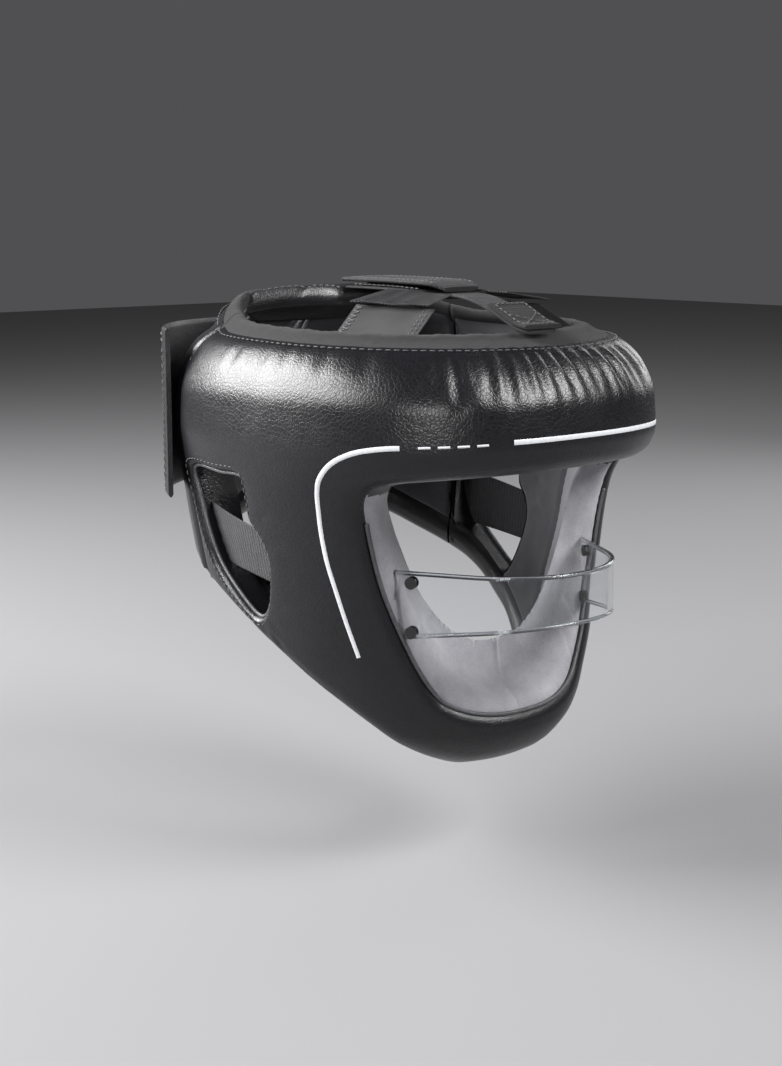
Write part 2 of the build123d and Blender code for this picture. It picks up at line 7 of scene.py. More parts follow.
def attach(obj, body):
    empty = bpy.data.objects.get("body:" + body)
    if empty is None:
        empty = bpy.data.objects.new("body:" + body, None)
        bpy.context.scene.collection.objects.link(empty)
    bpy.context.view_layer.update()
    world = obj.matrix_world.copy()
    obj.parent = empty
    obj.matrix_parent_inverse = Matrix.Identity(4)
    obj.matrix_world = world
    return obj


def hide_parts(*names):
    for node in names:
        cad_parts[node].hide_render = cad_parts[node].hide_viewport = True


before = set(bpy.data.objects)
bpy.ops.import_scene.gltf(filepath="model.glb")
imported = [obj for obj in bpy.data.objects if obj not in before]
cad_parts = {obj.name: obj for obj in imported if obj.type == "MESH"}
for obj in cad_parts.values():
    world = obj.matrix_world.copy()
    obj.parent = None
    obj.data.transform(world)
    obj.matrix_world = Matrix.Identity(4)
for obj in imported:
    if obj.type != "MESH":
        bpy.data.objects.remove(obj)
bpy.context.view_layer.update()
MM = 0.001
rng = np.random.default_rng(7)

# ------------------------------------------------------------------ camera (photograph's viewing angle)
W_PX, H_PX = 782, 1066
A, E, D, F = math.radians(-42.0), math.radians(10.3), 900.0, 1800.0
back = np.array([math.sin(A) * math.cos(E), -math.cos(A) * math.cos(E), math.sin(E)])
fwd = -back
right = np.cross(fwd, [0, 0, 1]); right /= np.linalg.norm(right)
up = np.cross(right, fwd)
aim = fwd - (408.0 - W_PX / 2) / F * right + (530.0 - H_PX / 2) / F * up
aim /= np.linalg.norm(aim)
r2 = np.cross(aim, [0, 0, 1]); r2 /= np.linalg.norm(r2)
u2 = np.cross(r2, aim)
cam_data = bpy.data.cameras.new("camera")
cam = bpy.data.objects.new("camera", cam_data)
bpy.context.collection.objects.link(cam)
cam.matrix_world = Matrix(((r2[0], u2[0], -aim[0], back[0] * D * MM), (r2[1], u2[1], -aim[1], back[1] * D * MM),
                           (r2[2], u2[2], -aim[2], back[2] * D * MM), (0, 0, 0, 1)))
cam_data.lens = F / H_PX * 36.0
cam_data.sensor_width = 36.0
cam_data.clip_start = 0.01
bpy.context.scene.camera = cam

# ------------------------------------------------------------------ shape tables (mm, as the CAD model's)
LEVELS = np.array([
    (-106, 40, 60, 58), (-100, 52, 72, 70), (-92, 62, 80, 80), (-82, 71, 85, 89),
    (-66, 79, 87, 97), (-46, 87, 87, 103), (-20, 93, 88, 107), (6, 98, 90, 110),
    (24, 101, 95, 111), (34, 103, 103, 112), (44, 105, 114, 112), (56, 106.5, 120, 112),
    (72, 106, 119, 111), (86, 102, 112, 107), (96, 95, 101, 101), (102, 87, 88, 94),
    (118, 80, 80, 88)], float)
POWER = 2.4
LOWER = np.array([(0, -104), (18, -103.5), (30, -99), (45, -90), (55, -80), (65, -70.5), (75, -61.5),
                  (85, -51.5), (95, -43), (105, -34), (115, -26.5), (125, -20.5), (135, -14),
                  (145, -6), (155, 0), (180, 5)], float)
UPPER = np.array([(0, 98), (45, 99), (90, 100), (112, 101), (126, 105), (140, 111), (155, 113), (180, 113)], float)
THICK = np.array([(-104, 17, 17, 17), (-90, 25, 23, 20), (-70, 26, 24, 20), (-40, 25, 24, 20),
                  (0, 25, 23, 20), (40, 25, 22, 20), (80, 25, 22, 19), (90, 20, 18, 16),
                  (100, 13, 12, 12), (112, 10, 10, 10)], float)
FRONT_END, REAR_START, REAR_END = 121.5, 122.3, 176.5
FACE_YZ = np.array([(-170, 47.5), (-135, 45.5), (-112, 43.5), (-90, 41.5), (-74, 39.5), (-65, 36), (-60, 29),
                    (-58.3, 20), (-58, 7), (-59, -8), (-61, -22), (-64, -38), (-66.5, -50), (-69, -60),
                    (-72, -67), (-78, -73.5), (-86, -79.5), (-96, -83), (-120, -86), (-170, -90)], float)
EAR = np.array([(-92, 37), (-91, 26), (-91, 16), (-87, 8), (-85, -2), (-87, -19), (-91, -30), (-96, -32),
                (-104, -23), (-112, -10), (-116, 6), (-118.5, 24), (-119, 34), (-113, 38), (-102, 37.5)], float)
SU = 1.78                     # mm of surface for one degree, for laying out the mesh


def pchip(xs, ys, x):
    xs, ys = np.asarray(xs, float), np.asarray(ys, float)
    x = np.clip(np.asarray(x, float), xs[0], xs[-1])
    h = np.diff(xs); d = np.diff(ys) / h; n = len(xs); m = np.zeros(n)
    m[0], m[-1] = d[0], d[-1]
    for i in range(1, n - 1):
        if d[i - 1] * d[i] > 0:
            w1, w2 = 2 * h[i] + h[i - 1], h[i] + 2 * h[i - 1]
            m[i] = (w1 + w2) / (w1 / d[i - 1] + w2 / d[i])
    k = np.clip(np.searchsorted(xs, x, side="right") - 1, 0, n - 2)
    t = (x - xs[k]) / h[k]
    return ((2 * t**3 - 3 * t**2 + 1) * ys[k] + (t**3 - 2 * t**2 + t) * h[k] * m[k]
            + (-2 * t**3 + 3 * t**2) * ys[k + 1] + (t**3 - t**2) * h[k] * m[k + 1])


def surf(th, z, w=0.0):
    """Points (n, 3) in mm at depth w square to the level outline."""
    th = np.radians(np.asarray(th, float)); z = np.asarray(z, float); w = np.asarray(w, float)
    th, z, w = np.broadcast_arrays(th, z, w)
    a, b, c = (pchip(LEVELS[:, 0], LEVELS[:, k], z) for k in (1, 2, 3))
    s, co = np.sin(th), np.cos(th)
    d = np.where(co >= 0, b, c)
    u, v = np.abs(s) / a, np.abs(co) / d
    r = (u**POWER + v**POWER) ** (-1 / POWER)
    gx, gy = u ** (POWER - 1) / a, v ** (POWER - 1) / d
    dot = (gx * np.abs(s) + gy * np.abs(co)) / np.hypot(gx, gy)
    r = r - w / dot
    return np.stack([r * s, -r * co, z], -1)


def thick(th, z):
    s, co = np.sin(np.radians(th)), np.cos(np.radians(th))
    f, sd, re = (pchip(THICK[:, 0], THICK[:, k], z) for k in (1, 2, 3))
    return sd * s * s + np.where(co >= 0, f, re) * co * co


def zlow(th): return pchip(LOWER[:, 0], LOWER[:, 1], np.abs(th))
def ztop(th): return pchip(UPPER[:, 0], UPPER[:, 1], np.abs(th))


def resample(P, n, closed=False):
    P = np.asarray(P, float)
    if closed:
        P = np.vstack([P, P[:1]])
    s = np.r_[0, np.cumsum(np.linalg.norm(np.diff(P, axis=0), axis=1))]
    t = np.linspace(0, s[-1], n + 1)[:-1] if closed else np.linspace(0, s[-1], n)
    return np.stack([np.interp(t, s, P[:, k]) for k in range(P.shape[1])], -1)


def catmull(cp, per=8, closed=True):
    cp = np.asarray(cp, float); m = len(cp); out = []
    rngi = range(m) if closed else range(m - 1)
    for i in rngi:
        if closed:
            p0, p1, p2, p3 = cp[(i - 1) % m], cp[i], cp[(i + 1) % m], cp[(i + 2) % m]
        else:
            p0, p1, p2, p3 = cp[max(i - 1, 0)], cp[i], cp[i + 1], cp[min(i + 2, m - 1)]
        for k in range(per):
            t = k / per
            out.append(0.5 * ((2 * p1) + (-p0 + p2) * t + (2 * p0 - 5 * p1 + 4 * p2 - p3) * t * t
                              + (-p0 + 3 * p1 - 3 * p2 + p3) * t**3))
    if not closed:
        out.append(cp[-1])
    return np.array(out)


def solve_theta(y, z, w, lo=0.0, hi=150.0):
    """Angle in [lo, hi] where the surface at depth w reaches y at height z."""
    lo = np.full(len(y), lo); hi = np.full(len(y), hi)
    for _ in range(45):
        m = (lo + hi) / 2
        below = surf(m, z, w)[:, 1] < y
        lo = np.where(below, m, lo); hi = np.where(below, hi, m)
    return lo


PROFILE = resample(catmull(FACE_YZ, 10, closed=False), 900)


def face_loop(w, n=200):
    """Closed loop (angle, height) of the face opening's edge at depth w; n points on each half."""
    y, z = PROFILE[:, 0], PROFILE[:, 1]
    wv = w(z) if callable(w) else np.full(len(z), float(w))
    front = surf(np.zeros(len(z)), z, wv)[:, 1]
    ok = np.where(y > front)[0]
    i0, i1 = ok[0], ok[-1]
    def cross(i, j):
        a, b = y[i] - front[i], y[j] - front[j]
        t = a / (a - b)
        return z[i] + (z[j] - z[i]) * t
    ys, zs, ws = y[i0:i1 + 1], z[i0:i1 + 1], wv[i0:i1 + 1]
    th = solve_theta(ys, zs, ws, 0.0, 100.0)
    half = np.vstack([[0.0, cross(i0 - 1, i0)], np.stack([th, zs], -1), [0.0, cross(i1, i1 + 1)]])
    q = half * [SU, 1.0]
    q = resample(q, n) / [SU, 1.0]
    return np.vstack([q, (q[-2:0:-1]) * [-1, 1]])


def ear_loop(side, w, n=96):
    base = resample(catmull(EAR, 8) * [SU, 1], n, closed=True) / [SU, 1]
    y = surf(base[:, 0], base[:, 1])[:, 1]
    wv = np.full(n, float(w))
    th = solve_theta(y, base[:, 1], wv, 40.0, 160.0)
    return np.stack([side * th, base[:, 1]], -1)


def seg_dist(P, L, closed=True):
    """Distance of points P (n,2) to the polyline L (m,2), and the fractional index of the nearest point."""
    B = np.roll(L, -1, axis=0) if closed else L[1:]
    Aa = L if closed else L[:-1]
    best = np.full(len(P), 1e9); idx = np.zeros(len(P))
    d = B - Aa; dd = (d**2).sum(1) + 1e-12
    for c in range(0, len(P), 4000):
        p = P[c:c + 4000, None, :]
        t = np.clip(((p - Aa[None]) * d[None]).sum(2) / dd[None], 0, 1)
        q = Aa[None] + t[..., None] * d[None]
        r = np.sqrt(((p - q) ** 2).sum(2))
        k = r.argmin(1)
        best[c:c + 4000] = r[np.arange(len(k)), k]
        idx[c:c + 4000] = k + t[np.arange(len(k)), k]
    return best, idx


def inside(P, L):
    x, y = P[:, 0], P[:, 1]; res = np.zeros(len(P), bool)
    for i in range(len(L)):
        (x0, y0), (x1, y1) = L[i - 1], L[i]
        c = (y0 > y) != (y1 > y)
        if c.any():
            xx = (x1 - x0) * (y - y0) / (y1 - y0 + 1e-15) + x0
            res ^= c & (x < xx)
    return res


def roundf(d, R):
    d = np.clip(d, 0, R)
    return R - np.sqrt(np.maximum(R * R - (R - d) ** 2, 0))


def domain_mesh(outer, r_outer, holes, h=2.4):
    """Triangulates an area in (angle, height). outer: (n,2). holes: list of (loop, radius, shifted loop or None).
    Returns angle/height, depth from rounding, distance to edges, triangles, and index arrays of each boundary."""
    sc = np.array([SU, 1.0])
    O = outer * sc
    loops = [O] + [hl[0] * sc for hl in holes]
    radii = [r_outer] + [hl[1] for hl in holes]
    pts, tags = [], []
    for L in loops:
        pts.append(L); tags.append(len(L))
    ring_src = []
    for li, L in enumerate(loops):
        R = radii[li]
        Rm = float(np.max(R)) if not callable(R) else 8.0
        t = np.roll(L, -1, 0) - np.roll(L, 1, 0)
        nrm = np.stack([-t[:, 1], t[:, 0]], -1); nrm /= np.linalg.norm(nrm, axis=1)[:, None] + 1e-12
        probe = L + nrm * 0.5
        ins = inside(probe, O)
        for other in loops[1:]:
            ins &= ~inside(probe, other)
        nrm = np.where(ins[:, None], nrm, -nrm)
        for ph in (0.06, 0.2, 0.38, 0.6, 0.8, 1.0):
            dk = Rm * (1 - math.cos(ph * math.pi / 2)) if ph < 1 else Rm
            ring_src.append((L + nrm * max(dk, 0.12), max(dk, 0.12)))
    x0, x1, y0, y1 = O[:, 0].min(), O[:, 0].max(), O[:, 1].min(), O[:, 1].max()
    gx, gy = np.meshgrid(np.arange(x0, x1, h), np.arange(y0, y1, h * 0.87))
    gx = gx + (np.arange(gx.shape[0]) % 2)[:, None] * h / 2
    G = np.stack([gx.ravel(), gy.ravel()], -1)

    def valid(P, dmin):
        ok = inside(P, O)
        for other in loops[1:]:
            ok &= ~inside(P, other)
        for L in loops:
            dd, _ = seg_dist(P, L)
            ok &= dd >= dmin
        return ok
    rings = [P[valid(P, dk * 0.93)] for P, dk in ring_src]
    Rmax = max(float(np.max(r)) for r in radii)
    G = G[valid(G, Rmax + 0.45 * h)] if True else G
    allp = np.vstack(pts + rings + [G])
    edges, s = [], 0
    for n in tags:
        edges += [(s + i, s + (i + 1) % n) for i in range(n)]
        s += n
    vo, _, fo, vi, _, _ = delaunay_2d_cdt([Vector(p) for p in allp], edges, [], 0, 1e-4, True)
    V = np.array([(v.x, v.y) for v in vo])
    T = np.array([f for f in fo if len(f) == 3])
    cen = V[T].mean(1)
    ok = inside(cen, O)
    for other in loops[1:]:
        ok &= ~inside(cen, other)
    T = T[ok]
    a = np.cross(V[T[:, 1]] - V[T[:, 0]], V[T[:, 2]] - V[T[:, 0]])
    T = T[np.abs(a) > 1e-6]
    a = np.cross(V[T[:, 1]] - V[T[:, 0]], V[T[:, 2]] - V[T[:, 0]])
    T[a < 0] = T[a < 0][:, ::-1]
    # map input vertices to output ones
    back_map = {}
    for o, srcs in enumerate(vi):
        for q in srcs:
            back_map[q] = o
    bounds_idx, s = [], 0
    for n in tags:
        bounds_idx.append(np.array([back_map[s + i] for i in range(n)])); s += n
    w3 = np.zeros(len(V)); dmin = np.full(len(V), 1e9)
    th = V[:, 0] / SU; z = V[:, 1].copy()
    dth = np.zeros(len(V)); dz = np.zeros(len(V))
    for li, L in enumerate(loops):
        d, idx = seg_dist(V, L)
        R = radii[li]
        if not np.isscalar(R):
            k0 = np.floor(idx).astype(int) % len(L); k1 = (k0 + 1) % len(L); f = idx - np.floor(idx)
            Rv = R[k0] * (1 - f) + R[k1] * f
        else:
            Rv = np.full(len(V), R)
        w3 += roundf(d, Rv) ** 3
        dmin = np.minimum(dmin, d)
        if li > 0 and holes[li - 1][2] is not None:
            S = holes[li - 1][2] - holes[li - 1][0]
            k0 = np.floor(idx).astype(int) % len(L); k1 = (k0 + 1) % len(L); f = idx - np.floor(idx)
            sh = S[k0] * (1 - f)[:, None] + S[k1] * f[:, None]
            fall = np.clip(1 - d / np.maximum(Rv * 1.3, 1e-6), 0, 1) ** 1.6
            dth += sh[:, 0] * fall; dz += sh[:, 1] * fall
    return th + dth, z + dz, w3 ** (1 / 3), dmin, T, bounds_idx


def new_mesh(name, V, Fc, smooth=True, mats=(), face_mat=None, uv=None):
    me = bpy.data.meshes.new(name)
    me.from_pydata([tuple(v) for v in (np.asarray(V) * MM)], [], [tuple(int(i) for i in f) for f in Fc])
    me.validate(clean_customdata=False)
    for m in mats:
        me.materials.append(m)
    if face_mat is not None and len(face_mat) == len(me.polygons):
        me.polygons.foreach_set("material_index", np.asarray(face_mat, np.int32))
    me.polygons.foreach_set("use_smooth", [smooth] * len(me.polygons))
    if uv is not None:
        layer = me.uv_layers.new(name="uv")
        li = np.zeros(len(me.loops), np.int32); me.loops.foreach_get("vertex_index", li)
        layer.data.foreach_set("uv", np.asarray(uv, np.float32)[li].ravel())
    me.update()
    ob = bpy.data.objects.new(name, me)
    bpy.context.collection.objects.link(ob)
    return ob


def weld(ob, dist=0.00002):
    bm = bmesh.new(); bm.from_mesh(ob.data)
    bmesh.ops.remove_doubles(bm, verts=bm.verts, dist=dist)
    bmesh.ops.recalc_face_normals(bm, faces=bm.faces)
    bm.to_mesh(ob.data); bm.free()
    ob.data.update()


def shade(ob, angle=None):
    ob.data.polygons.foreach_set("use_smooth", [True] * len(ob.data.polygons))
    if angle:
        ob.data.set_sharp_from_angle(angle=math.radians(angle))


class Build:
    def __init__(s): s.V, s.F, s.M, s.n = [], [], [], 0
    def add(s, V, Fc, m=0):
        V = np.asarray(V, float)
        s.V.append(V); s.F += [tuple(int(i) + s.n for i in f) for f in Fc]; s.M += [m] * len(Fc); s.n += len(V)
    def make(s, name, mats, **k):
        return new_mesh(name, np.vstack(s.V), s.F, mats=mats, face_mat=s.M, **k)


def grid_faces(nr, nc, closed=False, flip=False):
    out = []
    for i in range(nr - 1):
        for j in range(nc if closed else nc - 1):
            a, b = i * nc + j, i * nc + (j + 1) % nc
            c, d = (i + 1) * nc + (j + 1) % nc, (i + 1) * nc + j
            out.append((a, d, c, b) if flip else (a, b, c, d))
    return out


# ------------------------------------------------------------------ materials
def mat(name):
    m = bpy.data.materials.new(name); m.use_nodes = True
    nt = m.node_tree; nt.nodes.clear()
    out = nt.nodes.new("ShaderNodeOutputMaterial"); p = nt.nodes.new("ShaderNodeBsdfPrincipled")
    nt.links.new(p.outputs[0], out.inputs[0])
    return m, nt, p


def node(nt, kind, **k):
    n = nt.nodes.new(kind)
    for a, v in k.items():
        if a in n.inputs.keys():
            n.inputs[a].default_value = v
        else:
            setattr(n, a, v)
    return n


def mix_rgb(nt, fac, a, b):
    n = nt.nodes.new("ShaderNodeMix"); n.data_type = "RGBA"
    if isinstance(fac, (int, float)): n.inputs[0].default_value = fac
    else: nt.links.new(fac, n.inputs[0])
    for k, v in ((6, a), (7, b)):
        if isinstance(v, tuple): n.inputs[k].default_value = v
        else: nt.links.new(v, n.inputs[k])
    return n.outputs[2]


def math_n(nt, op, a, b=None, clamp=False):
    n = nt.nodes.new("ShaderNodeMath"); n.operation = op; n.use_clamp = clamp
    for k, v in ((0, a), (1, b)):
        if v is None: continue
        if isinstance(v, (int, float)): n.inputs[k].default_value = v
        else: nt.links.new(v, n.inputs[k])
    return n.outputs[0]


def ramp(nt, src, a, b):
    n = nt.nodes.new("ShaderNodeMapRange")
    nt.links.new(src, n.inputs[0]); n.inputs[1].default_value = a; n.inputs[2].default_value = b
    return n.outputs[0]


def leather(name, col=(0.0032, 0.0032, 0.0042), rough=0.37, cell=1.9, bump=0.22, sheen=0.0):
    """Crinkled synthetic leather: cells and creases of a couple of millimetres over fine pores."""
    m, nt, p = mat(name)
    tc = node(nt, "ShaderNodeTexCoord")
    warp = node(nt, "ShaderNodeTexNoise", Scale=160.0, Detail=2.0)
    nt.links.new(tc.outputs["Object"], warp.inputs["Vector"])
    add = node(nt, "ShaderNodeVectorMath", operation="MULTIPLY_ADD")
    nt.links.new(warp.outputs["Color"], add.inputs[0]); add.inputs[1].default_value = (0.003, 0.003, 0.003)
    nt.links.new(tc.outputs["Object"], add.inputs[2])
    v1 = node(nt, "ShaderNodeTexVoronoi", feature="DISTANCE_TO_EDGE", Scale=1000.0 / cell)
    nt.links.new(add.outputs[0], v1.inputs["Vector"])
    crease = ramp(nt, v1.outputs["Distance"], 0.0, 0.22)
    n1 = node(nt, "ShaderNodeTexNoise", Scale=330.0, Detail=5.0, Roughness=0.6)
    nt.links.new(tc.outputs["Object"], n1.inputs["Vector"])
    n2 = node(nt, "ShaderNodeTexNoise", Scale=45.0, Detail=3.0, Roughness=0.55)
    nt.links.new(tc.outputs["Object"], n2.inputs["Vector"])
    h = math_n(nt, "ADD", math_n(nt, "MULTIPLY", crease, 0.55), math_n(nt, "MULTIPLY", n1.outputs[0], 0.8))
    h = math_n(nt, "ADD", h, math_n(nt, "MULTIPLY", n2.outputs[0], 1.3))
    b = node(nt, "ShaderNodeBump", Strength=bump, Distance=0.0006)
    nt.links.new(h, b.inputs["Height"]); nt.links.new(b.outputs[0], p.inputs["Normal"])
    c2 = tuple(min(1, x * 1.7 + 0.0008) for x in col)
    colr = mix_rgb(nt, ramp(nt, n1.outputs[0], 0.35, 0.75), (*col, 1), (*c2, 1))
    nt.links.new(colr, p.inputs["Base Color"])
    r = math_n(nt, "ADD", math_n(nt, "MULTIPLY", n2.outputs[0], 0.16), rough - 0.08)
    r = math_n(nt, "SUBTRACT", r, math_n(nt, "MULTIPLY", crease, 0.05))
    nt.links.new(r, p.inputs["Roughness"])
    p.inputs["Specular IOR Level"].default_value = 0.38
    p.inputs["Coat Weight"].default_value = 0.14
    p.inputs["Coat Roughness"].default_value = 0.3
    return m


def fabric(name, col, col2, scale=1400.0, rough=0.85, bump=0.35, sheen=0.35, mottle=120.0):
    m, nt, p = mat(name)
    tc = node(nt, "ShaderNodeTexCoord")
    n1 = node(nt, "ShaderNodeTexNoise", Scale=scale, Detail=4.0, Roughness=0.65)
    n2 = node(nt, "ShaderNodeTexNoise", Scale=mottle, Detail=4.0, Roughness=0.6)
    w1 = node(nt, "ShaderNodeTexWave", Scale=scale * 0.55, Distortion=1.5, Detail=1.0)
    w2 = node(nt, "ShaderNodeTexWave", Scale=scale * 0.55, Distortion=1.5, Detail=1.0); w2.bands_direction = "Z"
    for n in (n1, n2, w1, w2):
        nt.links.new(tc.outputs["Object"], n.inputs["Vector"])
    h = math_n(nt, "ADD", math_n(nt, "MULTIPLY", w1.outputs["Fac"], 0.3), math_n(nt, "MULTIPLY", w2.outputs["Fac"], 0.3))
    h = math_n(nt, "ADD", h, math_n(nt, "MULTIPLY", n1.outputs[0], 0.6))
    b = node(nt, "ShaderNodeBump", Strength=bump, Distance=0.0004)
    nt.links.new(h, b.inputs["Height"]); nt.links.new(b.outputs[0], p.inputs["Normal"])
    f = math_n(nt, "MULTIPLY", math_n(nt, "ADD", n2.outputs[0], n1.outputs[0]), 0.5)
    nt.links.new(mix_rgb(nt, ramp(nt, f, 0.35, 0.65), (*col, 1), (*col2, 1)), p.inputs["Base Color"])
    p.inputs["Roughness"].default_value = rough
    p.inputs["Sheen Weight"].default_value = sheen
    p.inputs["Sheen Roughness"].default_value = 0.5
    p.inputs["Specular IOR Level"].default_value = 0.25
    return m, nt, p


M_COVER = leather("cover_leather")
M_COVER2 = leather("strap_leather", col=(0.008, 0.008, 0.009), rough=0.46, cell=1.2, bump=0.3)
M_LINER, _, _ = fabric("liner_fabric", (0.22, 0.215, 0.235), (0.33, 0.325, 0.345), 1500.0, 0.85, 0.3, 0.3, 90.0)
# dark liner fabric: the real black inner cover, also used as painted shade at the top of the face opening's edge
M_LINER_DARK_AND_SHADE, _, _ = fabric("liner_fabric_dark_and_painted_shade", (0.03, 0.03, 0.033), (0.05, 0.05, 0.054), 1500.0, 0.9, 0.3, 0.2, 90.0)
# darker liner fabric that is painted shade deep inside the temples
M_LINER_PAINTED_SHADE, _, _ = fabric("liner_fabric_painted_shade", (0.055, 0.055, 0.06), (0.085, 0.085, 0.092), 1500.0, 0.9, 0.3, 0.25, 90.0)
M_EARWEB, _, _ = fabric("ear_webbing", (0.022, 0.022, 0.024), (0.042, 0.042, 0.045), 1900.0, 0.62, 0.6, 0.1, 260.0)
M_TAPE, _, _ = fabric("binding_tape", (0.006, 0.006, 0.0065), (0.015, 0.015, 0.016), 1700.0, 0.8, 0.6, 0.05, 300.0)
M_WEB, _, _ = fabric("webbing", (0.008, 0.008, 0.009), (0.018, 0.018, 0.02), 1900.0, 0.6, 0.6, 0.06, 260.0)
M_PANEL, _, _ = fabric("strap_fabric", (0.008, 0.008, 0.009), (0.017, 0.017, 0.018), 1700.0, 0.72, 0.4, 0.1, 180.0)
M_HOOK, _, _ = fabric("hook_loop", (0.006, 0.006, 0.007), (0.018, 0.018, 0.02), 2600.0, 0.95, 1.0, 0.2, 700.0)
M_THREAD, _, _ = fabric("thread", (0.045, 0.045, 0.048), (0.09, 0.09, 0.093), 4000.0, 0.6, 0.5, 0.2, 500.0)
M_THREAD_L, _, _ = fabric("thread_light", (0.35, 0.35, 0.36), (0.5, 0.5, 0.51), 4000.0, 0.6, 0.5, 0.2, 500.0)
M_PIPE = leather("piping", col=(0.05, 0.05, 0.054), rough=0.33, cell=0.9, bump=0.3)


def simple(name, col, rough, metal=0.0, bump=0.1, scale=900.0, coat=0.0):
    m, nt, p = mat(name)
    tc = node(nt, "ShaderNodeTexCoord")
    n1 = node(nt, "ShaderNodeTexNoise", Scale=scale, Detail=4.0)
    nt.links.new(tc.outputs["Object"], n1.inputs["Vector"])
    nt.links.new(mix_rgb(nt, n1.outputs[0], (*[c * 0.85 for c in col], 1), (*[min(1, c * 1.12) for c in col], 1)), p.inputs["Base Color"])
    b = node(nt, "ShaderNodeBump", Strength=bump, Distance=0.0003)
    nt.links.new(n1.outputs[0], b.inputs["Height"]); nt.links.new(b.outputs[0], p.inputs["Normal"])
    nt.links.new(math_n(nt, "ADD", math_n(nt, "MULTIPLY", n1.outputs[0], 0.12), rough - 0.06), p.inputs["Roughness"])
    p.inputs["Metallic"].default_value = metal
    p.inputs["Coat Weight"].default_value = coat
    return m


M_STRIPE = simple("stripe_print", (0.62, 0.63, 0.65), 0.38, 0.0, 0.25, 700.0, 0.1)
M_RING = simple("ring_plastic", (0.012, 0.012, 0.013), 0.3, 0.0, 0.1, 600.0, 0.2)
M_STUD = simple("stud", (0.01, 0.01, 0.011), 0.25, 0.2, 0.1, 900.0, 0.3)


def clear_mat(name, tint=(0.96, 0.975, 0.985), rough=0.02, ior=1.35):
    m, nt, p = mat(name)
    tc = node(nt, "ShaderNodeTexCoord")
    n1 = node(nt, "ShaderNodeTexNoise", Scale=60.0, Detail=2.0)
    nt.links.new(tc.outputs["Object"], n1.inputs["Vector"])
    b = node(nt, "ShaderNodeBump", Strength=0.04, Distance=0.0005)
    nt.links.new(n1.outputs[0], b.inputs["Height"]); nt.links.new(b.outputs[0], p.inputs["Normal"])
    p.inputs["Base Color"].default_value = (*tint, 1)
    p.inputs["Roughness"].default_value = rough
    p.inputs["IOR"].default_value = ior
    p.inputs["Transmission Weight"].default_value = 1.0
    return m


M_VISOR = clear_mat("visor_clear")
M_BEAD = clear_mat("visor_edge", (0.8, 0.82, 0.84), 0.12, 1.5)


# ------------------------------------------------------------------ builders for strips, tubes and stitches
def frames(P, ref):
    """Tangents, sides and normals along a path whose normals lean to ref (3,) or (n, 3)."""
    P = np.asarray(P, float)
    T = np.gradient(P, axis=0); T /= np.linalg.norm(T, axis=1)[:, None] + 1e-12
    ref = np.broadcast_to(np.asarray(ref, float), P.shape)
    S = np.cross(T, ref); S /= np.linalg.norm(S, axis=1)[:, None] + 1e-12
    N = np.cross(S, T)
    return T, S, N


def tube(P, r, seg=10, closed=False, ref=(0, 0, 1), flat=1.0, twist=None):
    P = np.asarray(P, float); n = len(P)
    if closed:
        T = np.roll(P, -1, 0) - np.roll(P, 1, 0); T /= np.linalg.norm(T, axis=1)[:, None]
        R = np.broadcast_to(np.asarray(ref, float), P.shape)
        S = np.cross(T, R); S /= np.linalg.norm(S, axis=1)[:, None] + 1e-12; N = np.cross(S, T)
    else:
        T, S, N = frames(P, ref)
    rr = np.broadcast_to(np.asarray(r, float), (n,))
    a = np.linspace(0, 2 * math.pi, seg, endpoint=False)
    V = P[:, None, :] + rr[:, None, None] * (np.cos(a)[None, :, None] * S[:, None, :] + flat * np.sin(a)[None, :, None] * N[:, None, :])
    Fc = grid_faces(n, seg, closed=True)
    V = V.reshape(-1, 3)
    if closed:
        k = (n - 1) * seg
        Fc += [(k + j, k + (j + 1) % seg, (j + 1) % seg, j) for j in range(seg)]
    else:
        V = np.vstack([V, P[0] - T[0] * rr[0] * 0.4, P[-1] + T[-1] * rr[-1] * 0.4])
        a0, a1 = n * seg, n * seg + 1
        Fc += [(a0, (j + 1) % seg, j) for j in range(seg)]
        Fc += [(a1, (n - 1) * seg + j, (n - 1) * seg + (j + 1) % seg) for j in range(seg)]
    return V, Fc


def stitches(build, P, N, length=2.6, gap=1.3, r=0.33, lift=0.12, slant=0.0, m=0):
    """Thread stitches along a path: short sunken capsules."""
    P = np.asarray(P, float)
    s = np.r_[0, np.cumsum(np.linalg.norm(np.diff(P, axis=0), axis=1))]
    N = np.broadcast_to(np.asarray(N, float), P.shape)
    pos = np.arange(gap, s[-1] - length, length + gap)
    for a in pos:
        pts = []
        for t in (0.0, 0.2, 0.5, 0.8, 1.0):
            q = np.array([np.interp(a + length * t, s, P[:, k]) for k in range(3)])
            nn = np.array([np.interp(a + length * t, s, N[:, k]) for k in range(3)]); nn /= np.linalg.norm(nn) + 1e-12
            tg = np.array([np.interp(a + length * t + 0.3, s, P[:, k]) for k in range(3)]) - q
            sd = np.cross(nn, tg); sd /= np.linalg.norm(sd) + 1e-12
            pts.append(q + nn * (lift + r * 0.6 * math.sin(math.pi * t) - r * 0.5) + sd * slant * (t - 0.5))
        nn0 = np.array([np.interp(a, s, N[:, k]) for k in range(3)])
        V, Fc = tube(np.array(pts), np.array([0.5, 0.95, 1.0, 0.95, 0.5]) * r, 6, ref=nn0)
        build.add(V, Fc, m)


